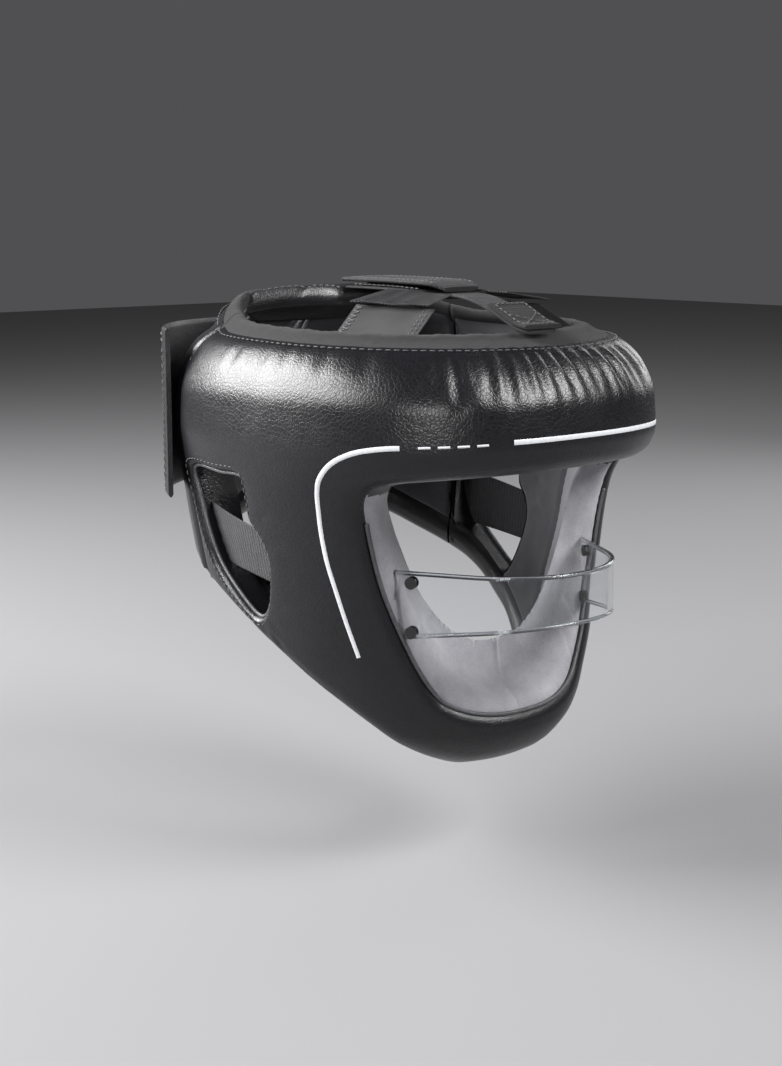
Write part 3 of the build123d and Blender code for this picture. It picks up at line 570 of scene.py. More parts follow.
def zigzag(build, P, N, width=4.0, pitch=2.2, r=0.3, lift=0.15, m=0):
    P = np.asarray(P, float)
    s = np.r_[0, np.cumsum(np.linalg.norm(np.diff(P, axis=0), axis=1))]
    N = np.broadcast_to(np.asarray(N, float), P.shape)
    n = int(s[-1] / pitch)
    pts = []
    for i in range(n + 1):
        a = s[-1] * i / n
        q = np.array([np.interp(a, s, P[:, k]) for k in range(3)])
        nn = np.array([np.interp(a, s, N[:, k]) for k in range(3)]); nn /= np.linalg.norm(nn) + 1e-12
        tg = np.array([np.interp(min(a + 0.4, s[-1]), s, P[:, k]) - np.interp(max(a - 0.4, 0), s, P[:, k]) for k in range(3)])
        sd = np.cross(nn, tg); sd /= np.linalg.norm(sd) + 1e-12
        pts.append(q + sd * width / 2 * (1 if i % 2 else -1) + nn * lift)
    V, Fc = tube(resample(pts, n * 4), r, 5, ref=N[0])
    build.add(V, Fc, m)


def ribbon(C, S, N, width, t, across=24, ribs=0, rib_h=0.0, along_ribs=0.0, puff=0.0, round_=0.45, ends=True, wob=0.0):
    """Closed strap: centre line C of its under side, side vectors S, normals N, thickness t (all mm).
    The cross-section is a flat rounded band; ribs run along it, along_ribs is the pitch of cross ribs."""
    C, S, N = (np.asarray(a, float) for a in (C, S, N)); n = len(C)
    width = np.broadcast_to(np.asarray(width, float), (n,)); t = np.broadcast_to(np.asarray(t, float), (n,))
    x = np.linspace(-1, 1, across)
    edge = 1 - np.clip((np.abs(x) - (1 - round_ * 2 * t.mean() / width.mean())) / (round_ * 2 * t.mean() / width.mean() + 1e-9), 0, 1) ** 2
    edge = np.sqrt(np.clip(edge, 0.0, 1))
    s = np.r_[0, np.cumsum(np.linalg.norm(np.diff(C, axis=0), axis=1))]
    top, bot = [], []
    for i in range(n):
        hgt = t[i] / 2 * (0.25 + 0.75 * edge)
        if puff:
            hgt = hgt + puff * (1 - np.abs(x) ** 2.4) * 0.5
        if ribs:
            hgt = hgt + rib_h * 0.5 * (np.cos(x * math.pi * ribs) - 1) * 0.5
        if along_ribs:
            hgt = hgt + rib_h * 0.5 * (math.cos(2 * math.pi * s[i] / along_ribs) - 1) * 0.5
        mid = t[i] / 2
        base = C[i] + N[i] * mid
        wv = wob * math.sin(s[i] * 0.35) * x ** 3 if wob else 0 * x
        top.append(base + (x * width[i] / 2)[:, None] * S[i] + (hgt + wv)[:, None] * N[i])
        bot.append(base + (x * width[i] / 2)[:, None] * S[i] - (hgt - wv)[:, None] * N[i])
    V = np.vstack([np.vstack([a, b[::-1]]) for a, b in zip(top, bot)])
    m = 2 * across
    Fc = grid_faces(n, m, closed=True, flip=True)
    if ends:
        Fc += [tuple(range(m))[::1], tuple((n - 1) * m + j for j in range(m))[::-1]]
    return V, Fc


def finish_piece(ob, body, replaces=(), auto=None):
    weld(ob, 0.000012)
    shade(ob, auto)
    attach(ob, body)
    if replaces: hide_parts(*replaces)
    return ob


def vnoise(P, scale, seed=0.0):
    return np.array([noise.noise(Vector((p[0] * scale + seed, p[1] * scale - seed, p[2] * scale + 2 * seed))) for p in P])


H_GRID = 2.3


# ------------------------------------------------------------------ the padded front shell
GATHERS = [(-35, 2.2, 0.9, 11), (-31.5, 2.4, 1.5, 15), (-27, 1.8, 0.8, 10), (-23.5, 2.2, 1.2, 13), (-19, 2.4, 1.5, 15),
           (-15, 2.0, 1.2, 14), (-11, 1.9, 1.4, 13), (-7, 2.2, 1.1, 16), (-3, 2.0, 1.4, 14), (1.5, 2.2, 1.1, 15),
           (6, 2.0, 1.3, 13), (10.5, 2.2, 1.2, 15), (15, 2.4, 1.4, 14), (20, 2.2, 1.0, 13), (25, 2.6, 1.2, 14),
           (31, 2.4, 1.1, 13), (36, 2.4, 0.8, 11), (-52, 3.0, 0.5, 9), (-63, 3.0, 0.4, 9), (-75, 2.6, 0.5, 8), (-84, 2.4, 0.5, 8),
           (-96, 2.8, 0.5, 9), (52, 3.0, 0.6, 10), (63, 3.0, 0.5, 9), (75, 2.8, 0.5, 8), (88, 2.6, 0.5, 8), (100, 2.6, 0.5, 9)]


def cover_disp(th, z, d):
    """Outward displacement (mm) of the cover: soft unevenness, gathers under the rim and puckers at the ears."""
    P = surf(th, z)
    o = 0.55 * vnoise(P, 0.018, 3.1) + 0.22 * vnoise(P, 0.05, 9.2)
    # gathers: narrow valleys that run down from the rim
    for c, wd, am, ln in GATHERS:
        lean = (97 - z) * 0.05 * math.sin(c * 1.7)
        x = (th - c - lean) / wd
        big = 1.0 if abs(c) < 40 else 0.6
        fade = np.clip(1 - (97 - z) / (ln * 1.25 * (1 + 0.45 * big)), 0, 1) ** 1.1 * np.clip((z - 64) / 8, 0, 1) * (1 + 0.35 * big)
        o -= 1.45 * am * np.exp(-x * x * 2.6) * fade
        o += 0.55 * am * np.exp(-(np.abs(x) - 1.2) ** 2 * 3) * fade
    # creases radiating from the lower corner of the ear opening and under the visor's end
    for side in (-1, 1):
        for (ct, cz, ang, L, am) in ((93, -33, -60, 16, 0.9), (88, -31, -35, 14, 0.7), (84, -22, -10, 14, 0.6), (84, 6, 10, 16, 0.6),
                                     (86, 16, 35, 14, 0.5), (99, -33, -95, 10, 0.7)):
            dx = (side * th - ct) * -SU; dz = z - cz
            ca, sa = math.cos(math.radians(ang)), math.sin(math.radians(ang))
            u = dx * ca + dz * sa; v = -dx * sa + dz * ca
            o -= am * np.exp(-(v / 1.5) ** 2) * np.clip(1 - u / L, 0, 1) * np.clip((u + 1) / 2, 0, 1)
    # the nape seam that runs from the ear opening's lower corner to the lower edge
    for side in (-1, 1):
        t = side * th
        zs = np.interp(t, [66, 74, 82, 88, 94], [-64, -57, -47, -39, -33])
        o -= 1.0 * np.exp(-((z - zs) / 1.0) ** 2) * ((t > 64) & (t < 95))
    return o * np.clip(d / 5.0, 0, 1)


def bottom_rows(th, r_low, wrap=15.0):
    """Section path that carries the cover from the rounded lower edge round to the inside."""
    zb = zlow(th)
    rows = []
    r_in = 7.0
    T0 = thick(th, zb + 4)
    for t in (0.0, 0.34, 0.67, 1.0):
        rows.append((r_low + (T0 - r_in - r_low) * t, zb - 0.5 * math.sin(math.pi * t)))
    for a in (22.5, 45, 67.5, 90):
        a = math.radians(a)
        z = zb + r_in * (1 - math.cos(a))
        rows.append((thick(th, z) - r_in + r_in * math.sin(a), z))
    for k in (1, 2, 3):
        z = zb + r_in + (wrap - r_in) * k / 3
        rows.append((thick(th, z) + (0.0 if k < 3 else -1.6), z + (0.2 if k == 3 else 0)))
    return rows


def shell_part(name, t0, t1, holes_fn, mats, disp, r_end=4.5, h=H_GRID):
    n_lo = int(abs(t1 - t0) * SU / 2.4)
    ths = np.linspace(t0, t1, n_lo + 1)
    lo = np.stack([ths, zlow(ths)], -1)
    hi = np.stack([ths[::-1], ztop(ths[::-1])], -1)
    nr = 46
    e1 = np.stack([np.full(nr, t1), np.linspace(zlow(t1), ztop(t1), nr + 1)[1:]], -1)[:-1]
    e0 = np.stack([np.full(nr, t0), np.linspace(ztop(t0), zlow(t0), nr + 1)[1:]], -1)[:-1]
    outer = np.vstack([lo, e1, hi, e0])
    R = np.concatenate([np.full(len(lo), 8.0), np.full(len(e1), r_end), np.full(len(hi), 4.2), np.full(len(e0), r_end)])
    k = len(outer)
    ker = np.ones(5) / 5
    R = np.convolve(np.r_[R[-2:], R, R[:2]], ker, mode="valid")
    th, z, w, d, T, bi = domain_mesh(outer, R, holes_fn, h)
    o = disp(th, z, d)
    V = surf(th, z, w - o)
    b = Build(); b.add(V, T, 0)
    # lower wrap: rows hung from the lower boundary
    li = bi[0][:len(lo)]
    base_w = w[li]
    rows = []
    for j in range(len(lo)):
        rows.append(bottom_rows(th[li][j], base_w[j]))
    rows = np.array(rows)                          # (n, rows, 2)
    nn, nrow = rows.shape[0], rows.shape[1]
    Vw = surf(np.repeat(th[li], nrow), rows[:, :, 1].ravel(), rows[:, :, 0].ravel())
    Vw = Vw.reshape(nn, nrow, 3); Vw[:, 0] = V[li]
    b.add(Vw.reshape(-1, 3), grid_faces(nn, nrow, flip=True), 0)
    # top: across to the inside under the binding
    hi_i = bi[0][len(lo) + len(e1):len(lo) + len(e1) + len(hi)]
    Tt = thick(th[hi_i], z[hi_i])
    q = np.stack([V[hi_i], surf(th[hi_i], z[hi_i], Tt - 2.5), surf(th[hi_i], z[hi_i] - 2.5, Tt)], 1)
    b.add(q.reshape(-1, 3), grid_faces(len(hi_i), 3, flip=True), 0)
    # ends: down into the seam between the front and the rear panels
    for seg in (bi[0][len(lo):len(lo) + len(e1)], bi[0][len(lo) + len(e1) + len(hi):]):
        Te = thick(th[seg], z[seg])
        q = np.stack([V[seg], surf(th[seg], z[seg], np.maximum(Te - 4.0, w[seg] + 1)), surf(th[seg] * 0.985, z[seg], Te)], 1)
        b.add(q.reshape(-1, 3), grid_faces(len(seg), 3, flip=True), 0)
    return b, V, th, z, w, d, bi


R_FACE_O = 6.0
fl0 = face_loop(0.0)
fl6 = face_loop(R_FACE_O)
ears = []
for side in (-1, 1):
    ears.append((ear_loop(side, 0.0), 4.5, ear_loop(side, 4.5)))
b, V, th, z, w, d, bi = shell_part("front", -FRONT_END, FRONT_END, [(fl0, R_FACE_O, fl6)] + ears, [M_COVER], cover_disp)
# ear tunnels: from the rounded outer edge to the liner
for k, side in ((2, -1), (3, 1)):
    idx = bi[k]
    e_out = V[idx]
    rows = [e_out]
    for t in (0.35, 0.7, 1.0):
        Lw = ear_loop(side, 4.5 + (17.5 - 4.5) * t)
        rows.append(surf(Lw[:, 0], Lw[:, 1], 4.5 + 13.0 * t))
    Lw = ear_loop(side, 17.5)
    cx = Lw.mean(0)
    far = Lw + (Lw - cx) / np.linalg.norm((Lw - cx) * [SU, 1], axis=1)[:, None] * 3.0
    rows.append(surf(far[:, 0], far[:, 1], thick(far[:, 0], far[:, 1]) - 0.6))
    q = np.stack(rows, 0)
    b.add(q.reshape(-1, 3), grid_faces(len(rows), len(idx), closed=True, flip=(side > 0)), 0)
shell_front = b.make("shell_cover_front", [M_COVER])
finish_piece(shell_front, "shell",
             ["front_cover", "forehead_foam", "chin_foam", "temple_foam_right", "temple_foam_left",
              "cheek_foam_right", "cheek_foam_left", "lower_binding_front"])
print("front shell", len(shell_front.data.vertices))


def rear_disp(th, z, d):
    P = surf(th, z)
    o = 0.5 * vnoise(P, 0.018, 5.1) + 0.2 * vnoise(P, 0.05, 1.2)
    for c in (128, 137, 147, 158, 168):
        x = (np.abs(th) - c) / 2.6
        zt = ztop(th)
        o -= 0.8 * np.exp(-x * x * 2) * np.clip(1 - (zt - z) / 14, 0, 1)
    return o * np.clip(d / 5, 0, 1)


for side, nm in ((-1, "right"), (1, "left")):
    t0, t1 = (-REAR_END, -REAR_START) if side < 0 else (REAR_START, REAR_END)
    b, *_ = shell_part("rear", t0, t1, [], [M_COVER], rear_disp, h=H_GRID * 1.2)
    ob = b.make("rear_pad_" + nm, [M_COVER])
    finish_piece(ob, "shell", ["rear_cover_" + nm, "rear_foam_" + nm, "lower_binding_rear_" + nm])


# ------------------------------------------------------------------ liner
def liner_part(t0, t1, holes, disp, r_end=3.0, h=None, wrap=15.0):
    h = h or H_GRID * 1.15
    n_lo = int(abs(t1 - t0) * SU / 2.8)
    ths = np.linspace(t0, t1, n_lo + 1)
    lo = np.stack([ths, zlow(ths) + wrap - 0.4], -1)
    hi = np.stack([ths[::-1], ztop(ths[::-1]) - 0.5], -1)
    nr = 40
    e1 = np.stack([np.full(nr, t1), np.linspace(lo[-1, 1], hi[0, 1], nr + 1)[1:]], -1)[:-1]
    e0 = np.stack([np.full(nr, t0), np.linspace(hi[-1, 1], lo[0, 1], nr + 1)[1:]], -1)[:-1]
    outer = np.vstack([lo, e1, hi, e0])
    R = np.concatenate([np.full(len(lo), 1.8), np.full(len(e1), r_end), np.full(len(hi), 3.0), np.full(len(e0), r_end)])
    th, z, w, d, T, bi = domain_mesh(outer, R, holes, h)
    o = disp(th, z, d)
    Vv = surf(th, z, thick(th, z) - w + o)
    return Vv, T[:, ::-1], th, z, w, d, bi, (len(lo), len(e1), len(hi), len(e0))


def liner_disp(th, z, d):
    P = surf(th, z)
    o = 1.3 * vnoise(P, 0.024, 7.7) + 0.6 * vnoise(P, 0.06, 4.2)
    a = np.abs(th)
    for c in (62.0, 92.0):
        o -= 1.9 * np.exp(-((a - c) * SU / 1.6) ** 2)
    o -= 1.5 * np.exp(-((z - 37) / 1.5) ** 2) * (a > 50) * (a < 92)
    o -= 1.6 * np.exp(-((th) * 1.2 / 1.3) ** 2) * (z < -40)
    # creases behind the far and near ears
    for (ct, cz, ang, L, am) in ((80, 20, 200, 22, 1.3), (79, 10, 215, 22, 1.2), (80, 0, 190, 18, 1.0), (78, 28, 170, 18, 1.0), (84, -14, 250, 18, 0.9)):
        dx = (a - ct) * SU; dz = z - cz
        ca, sa = math.cos(math.radians(ang)), math.sin(math.radians(ang))
        u = dx * ca + dz * sa; v = -dx * sa + dz * ca
        o -= am * np.exp(-(v / 1.5) ** 2) * np.clip(1 - u / L, 0, 1) * np.clip((u + 1) / 2, 0, 1)
    return o * np.clip(d / 5.0, 0, 1)


R_I = 9.0


def wT(zz, inset=0.0):
    """Inner depth on the side, used for the edge loops of the face opening."""
    return pchip(THICK[:, 0], THICK[:, 1], zz) * 0.45 + pchip(THICK[:, 0], THICK[:, 2], zz) * 0.55 - inset


fi0 = face_loop(lambda zz: wT(zz))
fi1 = face_loop(lambda zz: wT(zz, R_I))
ear_h = []
for side in (-1, 1):
    L0 = ear_loop(side, 17.5)
    cx = L0.mean(0)
    grow_ = L0 + (L0 - cx) / np.linalg.norm((L0 - cx) * [SU, 1], axis=1)[:, None] * 2.0
    ear_h.append((grow_, 4.0, None))
Vl, Tl, thl, zl, wl, dl, bil, cnt = liner_part(-FRONT_END, FRONT_END, [(fi0, R_I, fi1)] + ear_h, liner_disp)
b = Build()
b.add(Vl, Tl, 0)
# edge face of the opening: from the cover's seam to the liner's rounded edge
ri = bil[1]
rows = []
P_seam = surf(fl6[:, 0], fl6[:, 1], R_FACE_O)
P_in = Vl[ri]
nst = 14
for k in range(nst + 1):
    t = k / nst
    q = P_seam * (1 - t) + P_in * t
    bul = 2.0 * math.sin(math.pi * min(1.0, t * 1.05)) ** 0.7 if 0 < t < 1 else 0.0
    amp = math.sin(math.pi * t) ** 0.6 if 0 < t < 1 else 0.0
    arc_s = np.r_[0, np.cumsum(np.linalg.norm(np.diff(P_seam, axis=0), axis=1))]
    g = amp * (0.9 * vnoise(P_seam, 0.045, 6.3) + 0.45 * vnoise(P_seam, 0.13, 2.6))
    g -= 0.35 * max(0.0, 1 - t * 2.2) * (0.5 + 0.5 * np.sin(arc_s * 1.15 + 1.5 * np.sin(arc_s * 0.21))) * (t > 0)
    g -= 1.9 * amp * np.exp(-(P_seam[:, 0] / 1.3) ** 2) * (P_seam[:, 2] < -40)          # seam of the chin cup
    for zc, wdt in ((-20.0, 1.6), (-47.0, 2.2), (-61.0, 1.8)):
        g -= 0.8 * amp * np.exp(-((P_seam[:, 2] - zc - 6 * t) / wdt) ** 2)
    q = q + np.array([0, -1, 0]) * bul + g[:, None] * np.array([0, -0.98, 0.2])
    rows.append(q)
q = np.stack(rows, 0)
b.add(q.reshape(-1, 3), grid_faces(nst + 1, len(ri), closed=True, flip=False), 0)
# choose the fabric per face: the brow and the top are dark. Above 33.5 mm the dark fabric is partly the brow's black
# inner cover and partly painted shade at the top of the opening's edge. Beyond 62 degrees a darker fabric is painted
# shade inside the temples, past the real seam. Elsewhere the light grey liner is used
Vall = np.vstack(b.V)
fm = []
for f in b.F:
    c = Vall[list(f)].mean(0)
    tc_ = math.degrees(math.atan2(abs(c[0]), -c[1]))
    fm.append(1 if c[2] > 33.5 else (2 if tc_ > 62.0 else 0))
b.M = fm
liner = b.make("liner_front", [M_LINER, M_LINER_DARK_AND_SHADE, M_LINER_PAINTED_SHADE])
finish_piece(liner, "shell",
             ["brow_liner", "cheek_liner_right", "cheek_liner_left", "side_liner_right", "side_liner_left", "face_edging"])
for side, nm in ((-1, "right"), (1, "left")):
    t0, t1 = (-REAR_END, -REAR_START) if side < 0 else (REAR_START, REAR_END)
    Vr, Tr, *_ = liner_part(t0, t1, [], lambda a_, b_, c_: 0.7 * vnoise(surf(a_, b_), 0.03, 2.2) * np.clip(c_ / 5, 0, 1))
    ob = new_mesh("rear_liner_pad_" + nm, Vr, Tr, mats=[M_LINER_DARK_AND_SHADE])
    finish_piece(ob, "shell", ["rear_liner_" + nm])

# ------------------------------------------------------------------ piping and stitches at the face opening
sel = (fl6[:, 1] < 21)
order = np.where(sel)[0]
pp = surf(fl6[order, 0], fl6[order, 1], R_FACE_O - 0.8) + np.array([0, -0.9, 0])
# loop runs right half (positive angles) down, then back up the other side
pp = resample(pp, 420)
V_, F_ = tube(pp, 1.05, 10, ref=(0, -1, 0))
ob = new_mesh("face_piping_cord", V_, F_, mats=[M_PIPE])
finish_piece(ob, "shell", ["face_piping"])
bs = Build()
seam_n = np.array([0.0, -1.0, 0.25]); seam_n /= np.linalg.norm(seam_n)
lp = surf(fl6[order, 0], fl6[order, 1], R_FACE_O + 2.4)
lp_ = resample(lp + np.array([0, -1.75, 0]), 420)
stitches(bs, lp_, seam_n, 2.3, 1.4, 0.30, 0.05)
ob = bs.make("face_seam_stitches", [M_THREAD_L]); finish_piece(ob, "shell")

# ------------------------------------------------------------------ ear piping, stitches and webbing
for side, nm in ((-1, "right"), (1, "left")):
    L = ear_loop(side, 4.5, 160)
    P = surf(L[:, 0], L[:, 1], 3.9)
    cen = P.mean(0)
    V_, F_ = tube(P + (cen - P) / np.linalg.norm(cen - P, axis=1)[:, None] * 0.5, 0.95, 10, closed=True, ref=(side, 0, 0))
    ob = new_mesh("ear_piping_cord_" + nm, V_, F_, mats=[M_PIPE])
    finish_piece(ob, "shell", ["ear_piping_" + nm])
    bs = Build()
    L0 = ear_loop(side, 0.0, 160); cx = L0.mean(0)
    off = L0 + (L0 - cx) / np.linalg.norm((L0 - cx) * [SU, 1], axis=1)[:, None] * 3.4
    Po = surf(off[:, 0], off[:, 1], 0.25)
    nn = np.stack([np.sign(Po[:, 0]) * 1.0, 0 * Po[:, 0], 0 * Po[:, 0]], -1)
    stitches(bs, Po, nn, 2.2, 1.5, 0.26, 0.1)
    ob = bs.make("ear_stitches_" + nm, [M_THREAD]); finish_piece(ob, "shell")
    # ribbed webbing across the opening
    n = 110
    t = np.linspace(0, 1, n)
    a = -123.0 + 42.0 * t
    z1 = 19.0 - 13.0 * t; z0 = -9.0 - 8.0 * t
    wv = 8.2 + 1.2 * np.sin(math.pi * t)
    keep = (a > -121.0) & (a < -85.5)
    a, z1, z0, wv = a[keep], z1[keep], z0[keep], wv[keep]
    lo_, hi_ = surf(a, z0, wv + 1.2), surf(a, z1, wv + 1.2)
    C = (lo_ + hi_) / 2; S = hi_ - lo_; wid = np.linalg.norm(S, axis=1); S /= wid[:, None]
    Tn = np.gradient(C, axis=0); N = np.cross(S, Tn); N /= np.linalg.norm(N, axis=1)[:, None]
    if N[:, 0].mean() > 0: N = -N
    V_, F_ = ribbon(C, S, N, wid, 1.3, across=60, ribs=0, along_ribs=2.1, rib_h=0.9)
    V_ = V_ * [side * -1, 1, 1]
    if side > 0: F_ = [f[::-1] for f in F_]
    ob = new_mesh("ear_webbing_" + nm, V_, F_, mats=[M_EARWEB])
    finish_piece(ob, "shell", ["ear_strap_" + nm])

# ------------------------------------------------------------------ printed stripe
STRIPE = [(-43.8, 57.2), (-46, 57), (-49, 56.3), (-52.5, 55), (-55.5, 53), (-58.5, 50), (-61, 46), (-63, 41), (-64, 36), (-64.5, 29),
          (-64.5, 17), (-63.5, 3), (-61.5, -11), (-59, -27), (-56, -43)]
STRIPE2 = [(-20, 59), (-13.5, 59.2), (-2.5, 59.3), (0, 59.3), (10.5, 59.2), (20, 59)]


def stripe_piece(name, pts, width=3.0, mirror=False, lift=0.22):
    q = catmull(np.array(pts, float) * [SU, 1], 14, closed=False)
    q = resample(q, max(8, int(len(q) * 1.2)))
    tg = np.gradient(q, axis=0); tg /= np.linalg.norm(tg, axis=1)[:, None]
    nrm = np.stack([-tg[:, 1], tg[:, 0]], -1)
    cols = np.linspace(-0.5, 0.5, 5)
    rows = []
    for c in cols:
        p = q + nrm * c * width
        t_, z_ = p[:, 0] / SU, p[:, 1]
        if mirror: t_ = -t_
        lf = lift if abs(c) < 0.45 else -0.25
        dd = cover_disp(t_, z_, np.full(len(t_), 20.0))
        rows.append(surf(t_, z_, -dd - lf))
    Vv = np.stack(rows, 1).reshape(-1, 3)
    ob = new_mesh(name, Vv, grid_faces(len(q), len(cols), flip=mirror), mats=[M_STRIPE])
    return finish_piece(ob, "shell")


stripe_piece("stripe_right", STRIPE)
stripe_piece("stripe_left", STRIPE, mirror=True)
stripe_piece("stripe_front", [(-20, 59), (-10, 59.25), (0, 59.3), (10, 59.25), (20, 59), (31, 58.4), (43.8, 57.2)])
for i, (a0, a1) in enumerate(((-40, -37.5), (-36, -33.5), (-32, -29.5), (-28, -25.5))):
    stripe_piece("stripe_dash_%d" % i, [(a0, 57.4 + 0.06 * i * 4), ((a0 + a1) / 2, 57.5 + 0.06 * i * 4), (a1, 57.6 + 0.06 * i * 4)], width=1.4)


# ------------------------------------------------------------------ crown binding
def binding(name, t0, t1, node_):
    n = int(abs(t1 - t0) * 1.6 / (2.0))
    ths = np.linspace(t0, t1, n)
    out = []
    for a in ths:
        zt = float(ztop(a)); T = float(thick(a, zt))
        wob = 0.35 * math.sin(a * 0.55) + 0.25 * math.sin(a * 1.7 + 1)
        lo, hi = 2.6, T - 0.3
        path = [(lo + 1.0, zt - 4.2), (lo - 0.5, zt - 3.6), (lo - 0.55, zt - 1.5), (lo + 0.3, zt + 1.5), (lo + 1.2, zt + 3.4 + wob * 0.4), (lo + 2.6, zt + 4.3 + wob * 0.5),
                ((lo + hi) / 2, zt + 4.6 + wob * 0.5), (hi - 2.2, zt + 4.3 + wob * 0.5), (hi - 0.6, zt + 3.2), (hi + 0.3, zt + 1.0), (hi + 0.5, zt - 2.0), (hi + 0.5, zt - 5.5), (hi - 0.6, zt - 6.2)]
        p = catmull(np.array(path), 3, closed=False)
        out.append(surf(np.full(len(p), a), p[:, 1], p[:, 0]))
    m = len(out[0])
    Vv = np.array(out).reshape(-1, 3)
    Fc = grid_faces(n, m, flip=True) + [tuple(range(m)), tuple((n - 1) * m + j for j in range(m))[::-1]]
    ob = new_mesh(name, Vv, Fc, mats=[M_TAPE])
    finish_piece(ob, "shell", [node_])
    bs = Build()
    Pp = surf(ths, ztop(ths) - 1.2, -0.25)
    Nn = surf(ths, ztop(ths), -1.0) - surf(ths, ztop(ths), 0.0)
    stitches(bs, Pp, Nn, 2.4, 1.5, 0.28, 0.1)
    ob = bs.make(name + "_stitches", [M_THREAD]); finish_piece(ob, "shell")


binding("crown_binding_tape_front", -FRONT_END - 0.2, FRONT_END + 0.2, "crown_binding_front")
binding("crown_binding_tape_rear_right", -REAR_END, -REAR_START + 0.4, "crown_binding_rear_right")
binding("crown_binding_tape_rear_left", REAR_START - 0.4, REAR_END, "crown_binding_rear_left")


# ------------------------------------------------------------------ crown straps (paths in the plane x = 0)
def path_frames(pts, up=1, n=60):
    """(y, z[, width]) points to centre line, side, normal and width; up +1 when the path runs to the rear."""
    P = np.array([(p[0], p[1], p[2] if len(p) > 2 else 0) for p in pts], float)
    q = resample(catmull(P, 12, closed=False), n)
    C = np.stack([0 * q[:, 0], q[:, 0], q[:, 1]], -1)
    T = np.gradient(C, axis=0); T /= np.linalg.norm(T, axis=1)[:, None]
    S = np.tile([1.0, 0, 0], (n, 1))
    N = np.cross(S, T) * (1 if up > 0 else -1)
    S = S * (1 if up > 0 else -1)
    return C, S, N, q[:, 2]


def strap_piece(name, pts, width, t, mats, body, slot, nodes, up=1, n=60, **k):
    C, S, N, wd = path_frames(pts, up, n)
    wd = wd if wd.max() > 0 else np.full(n, float(width))
    V_, F_ = ribbon(C, S, N, wd, t, **k)
    ob = new_mesh(name, V_, F_, mats=mats)
    return finish_piece(ob, body, nodes, auto=50), (C, S, N, wd)


YOKE = [(76.0, 101.0, 118), (70.0, 105.6, 108), (62.0, 108.4, 84), (50.0, 110.0, 62), (38.0, 110.6, 48), (27.0, 110.8, 42)]


def yoke():
    n, m = 40, 44
    C, S, N, wd = path_frames(YOKE, -1, n)
    top, bot = [], []
    x = np.linspace(-1, 1, m)
    inner = []
    for i in range(n):
        s = i / (n - 1)
        e = np.clip((1 - np.abs(x)) * wd[i] / 2 / 4.5, 0, 1)
        rr = np.sqrt(1 - (1 - e) ** 2)
        es = np.clip((1 - s) * 50 / 5.0, 0, 1); es = math.sqrt(1 - (1 - es) ** 2)
        hh = 4.9 * (0.12 + 0.88 * rr * (0.35 + 0.65 * es))
        crown = 0.8 * (1 - x**2)
        # cross seams of the padded yoke
        for sc in (0.30, 0.72):
            crown = crown - 1.4 * math.exp(-((s - sc) * 50 / 1.6) ** 2)
        wr = 0.5 * np.sin(x * 9 + s * 6) * 0.5
        mid = C[i] + N[i] * 5.0
        px = x * wd[i] / 2
        tp = mid + px[:, None] * np.array([1.0, 0, 0]) + (hh + crown + wr * 0.4)[:, None] * N[i]
        bt = mid + px[:, None] * np.array([1.0, 0, 0]) - (hh)[:, None] * N[i]
        top.append(tp); bot.append(bt)
    top, bot = np.array(top), np.array(bot)
    for arr in (top, bot):       # the base follows the inside of the rim
        for j in range(m):
            for i in range(n):
                p = arr[i, j]
                a = math.degrees(math.atan2(p[0], -p[1]))
                lim = surf(a, 104.0, thick(a, 104.0) + 1.0)
                r, rl = math.hypot(p[0], p[1]), math.hypot(lim[0], lim[1])
                if r > rl:
                    arr[i, j, 0] *= rl / r; arr[i, j, 1] *= rl / r
    Vv = np.concatenate([top, bot[:, ::-1]], 1).reshape(-1, 3)
    Fc = grid_faces(n, 2 * m, closed=True) + [tuple(range(2 * m))[::-1], tuple((n - 1) * 2 * m + j for j in range(2 * m))]
    ob = new_mesh("crown_yoke_pad", Vv, Fc, mats=[M_COVER2])
    finish_piece(ob, "shell", ["crown_rear_yoke"])
    bs = Build()
    for sc in (0.335, 0.755):
        i = int(sc * (n - 1))
        stitches(bs, top[i][4:-4] + N[i] * 0.05, N[i], 2.2, 1.3, 0.28, 0.15)
    for j in (3, m - 4):
        stitches(bs, top[2:, j] + N[2:] * 0.05, N[2:], 2.2, 1.3, 0.28, 0.15)
    ob = bs.make("crown_yoke_stitches", [M_THREAD]); finish_piece(ob, "shell")


yoke()
_, (Cs, Ss, Ns, Ws) = strap_piece("crown_sleeve_web", [(-26.0, 118.6, 34), (-8.0, 119.3, 34), (10.0, 119.5, 34), (20.0, 119.5, 35), (26.3, 119.5, 36)],
                                  34, 1.4, [M_WEB], "shell", "webbing", ["crown_sleeve"], n=90, across=60, along_ribs=2.1, rib_h=0.8)
strap_piece("crown_loop_pad", [(-12.0, 120.8, 24), (5.0, 121.05, 24), (22.0, 121.1, 24)], 24, 0.7, [M_HOOK], "shell", "hook_loop", ["crown_loop_patch"], n=50, across=40)
FS = [(-90.0, 102.7), (-83.0, 103.9), (-76.0, 107.0), (-65.0, 111.9), (-52.0, 115.8), (-43.0, 117.1), (-38.5, 117.3)]
_, (Cf, Sf, Nf, Wf) = strap_piece("crown_front_web", FS, 19, 1.8, [M_WEB], "shell", "webbing", ["crown_front_strap"], n=90, across=44, along_ribs=1.9, rib_h=0.5)
_, (Ca, Sa, Na, Wa) = strap_piece("crown_front_anchor_tape", [(-91.0, 104.9, 24), (-84.0, 106.1, 24), (-77.2, 109.2, 24), (-67.0, 114.2, 24)], 24, 2.0, [M_TAPE], "shell", "webbing", ["crown_front_anchor"], n=60, across=44, along_ribs=1.7, rib_h=0.4)
bs = Build()
Tp = Ca + Na * 2.15
for sx in (-9.5, 9.5):
    stitches(bs, Tp[3:-3] + np.array([sx, 0, 0]), Na[3:-3], 2.0, 1.1, 0.28, 0.1)
for i in (4, -5):
    xs = np.linspace(-9.5, 9.5, 20)
    stitches(bs, Tp[i] + xs[:, None] * np.array([1.0, 0, 0]), Na[i], 2.0, 1.1, 0.28, 0.1)
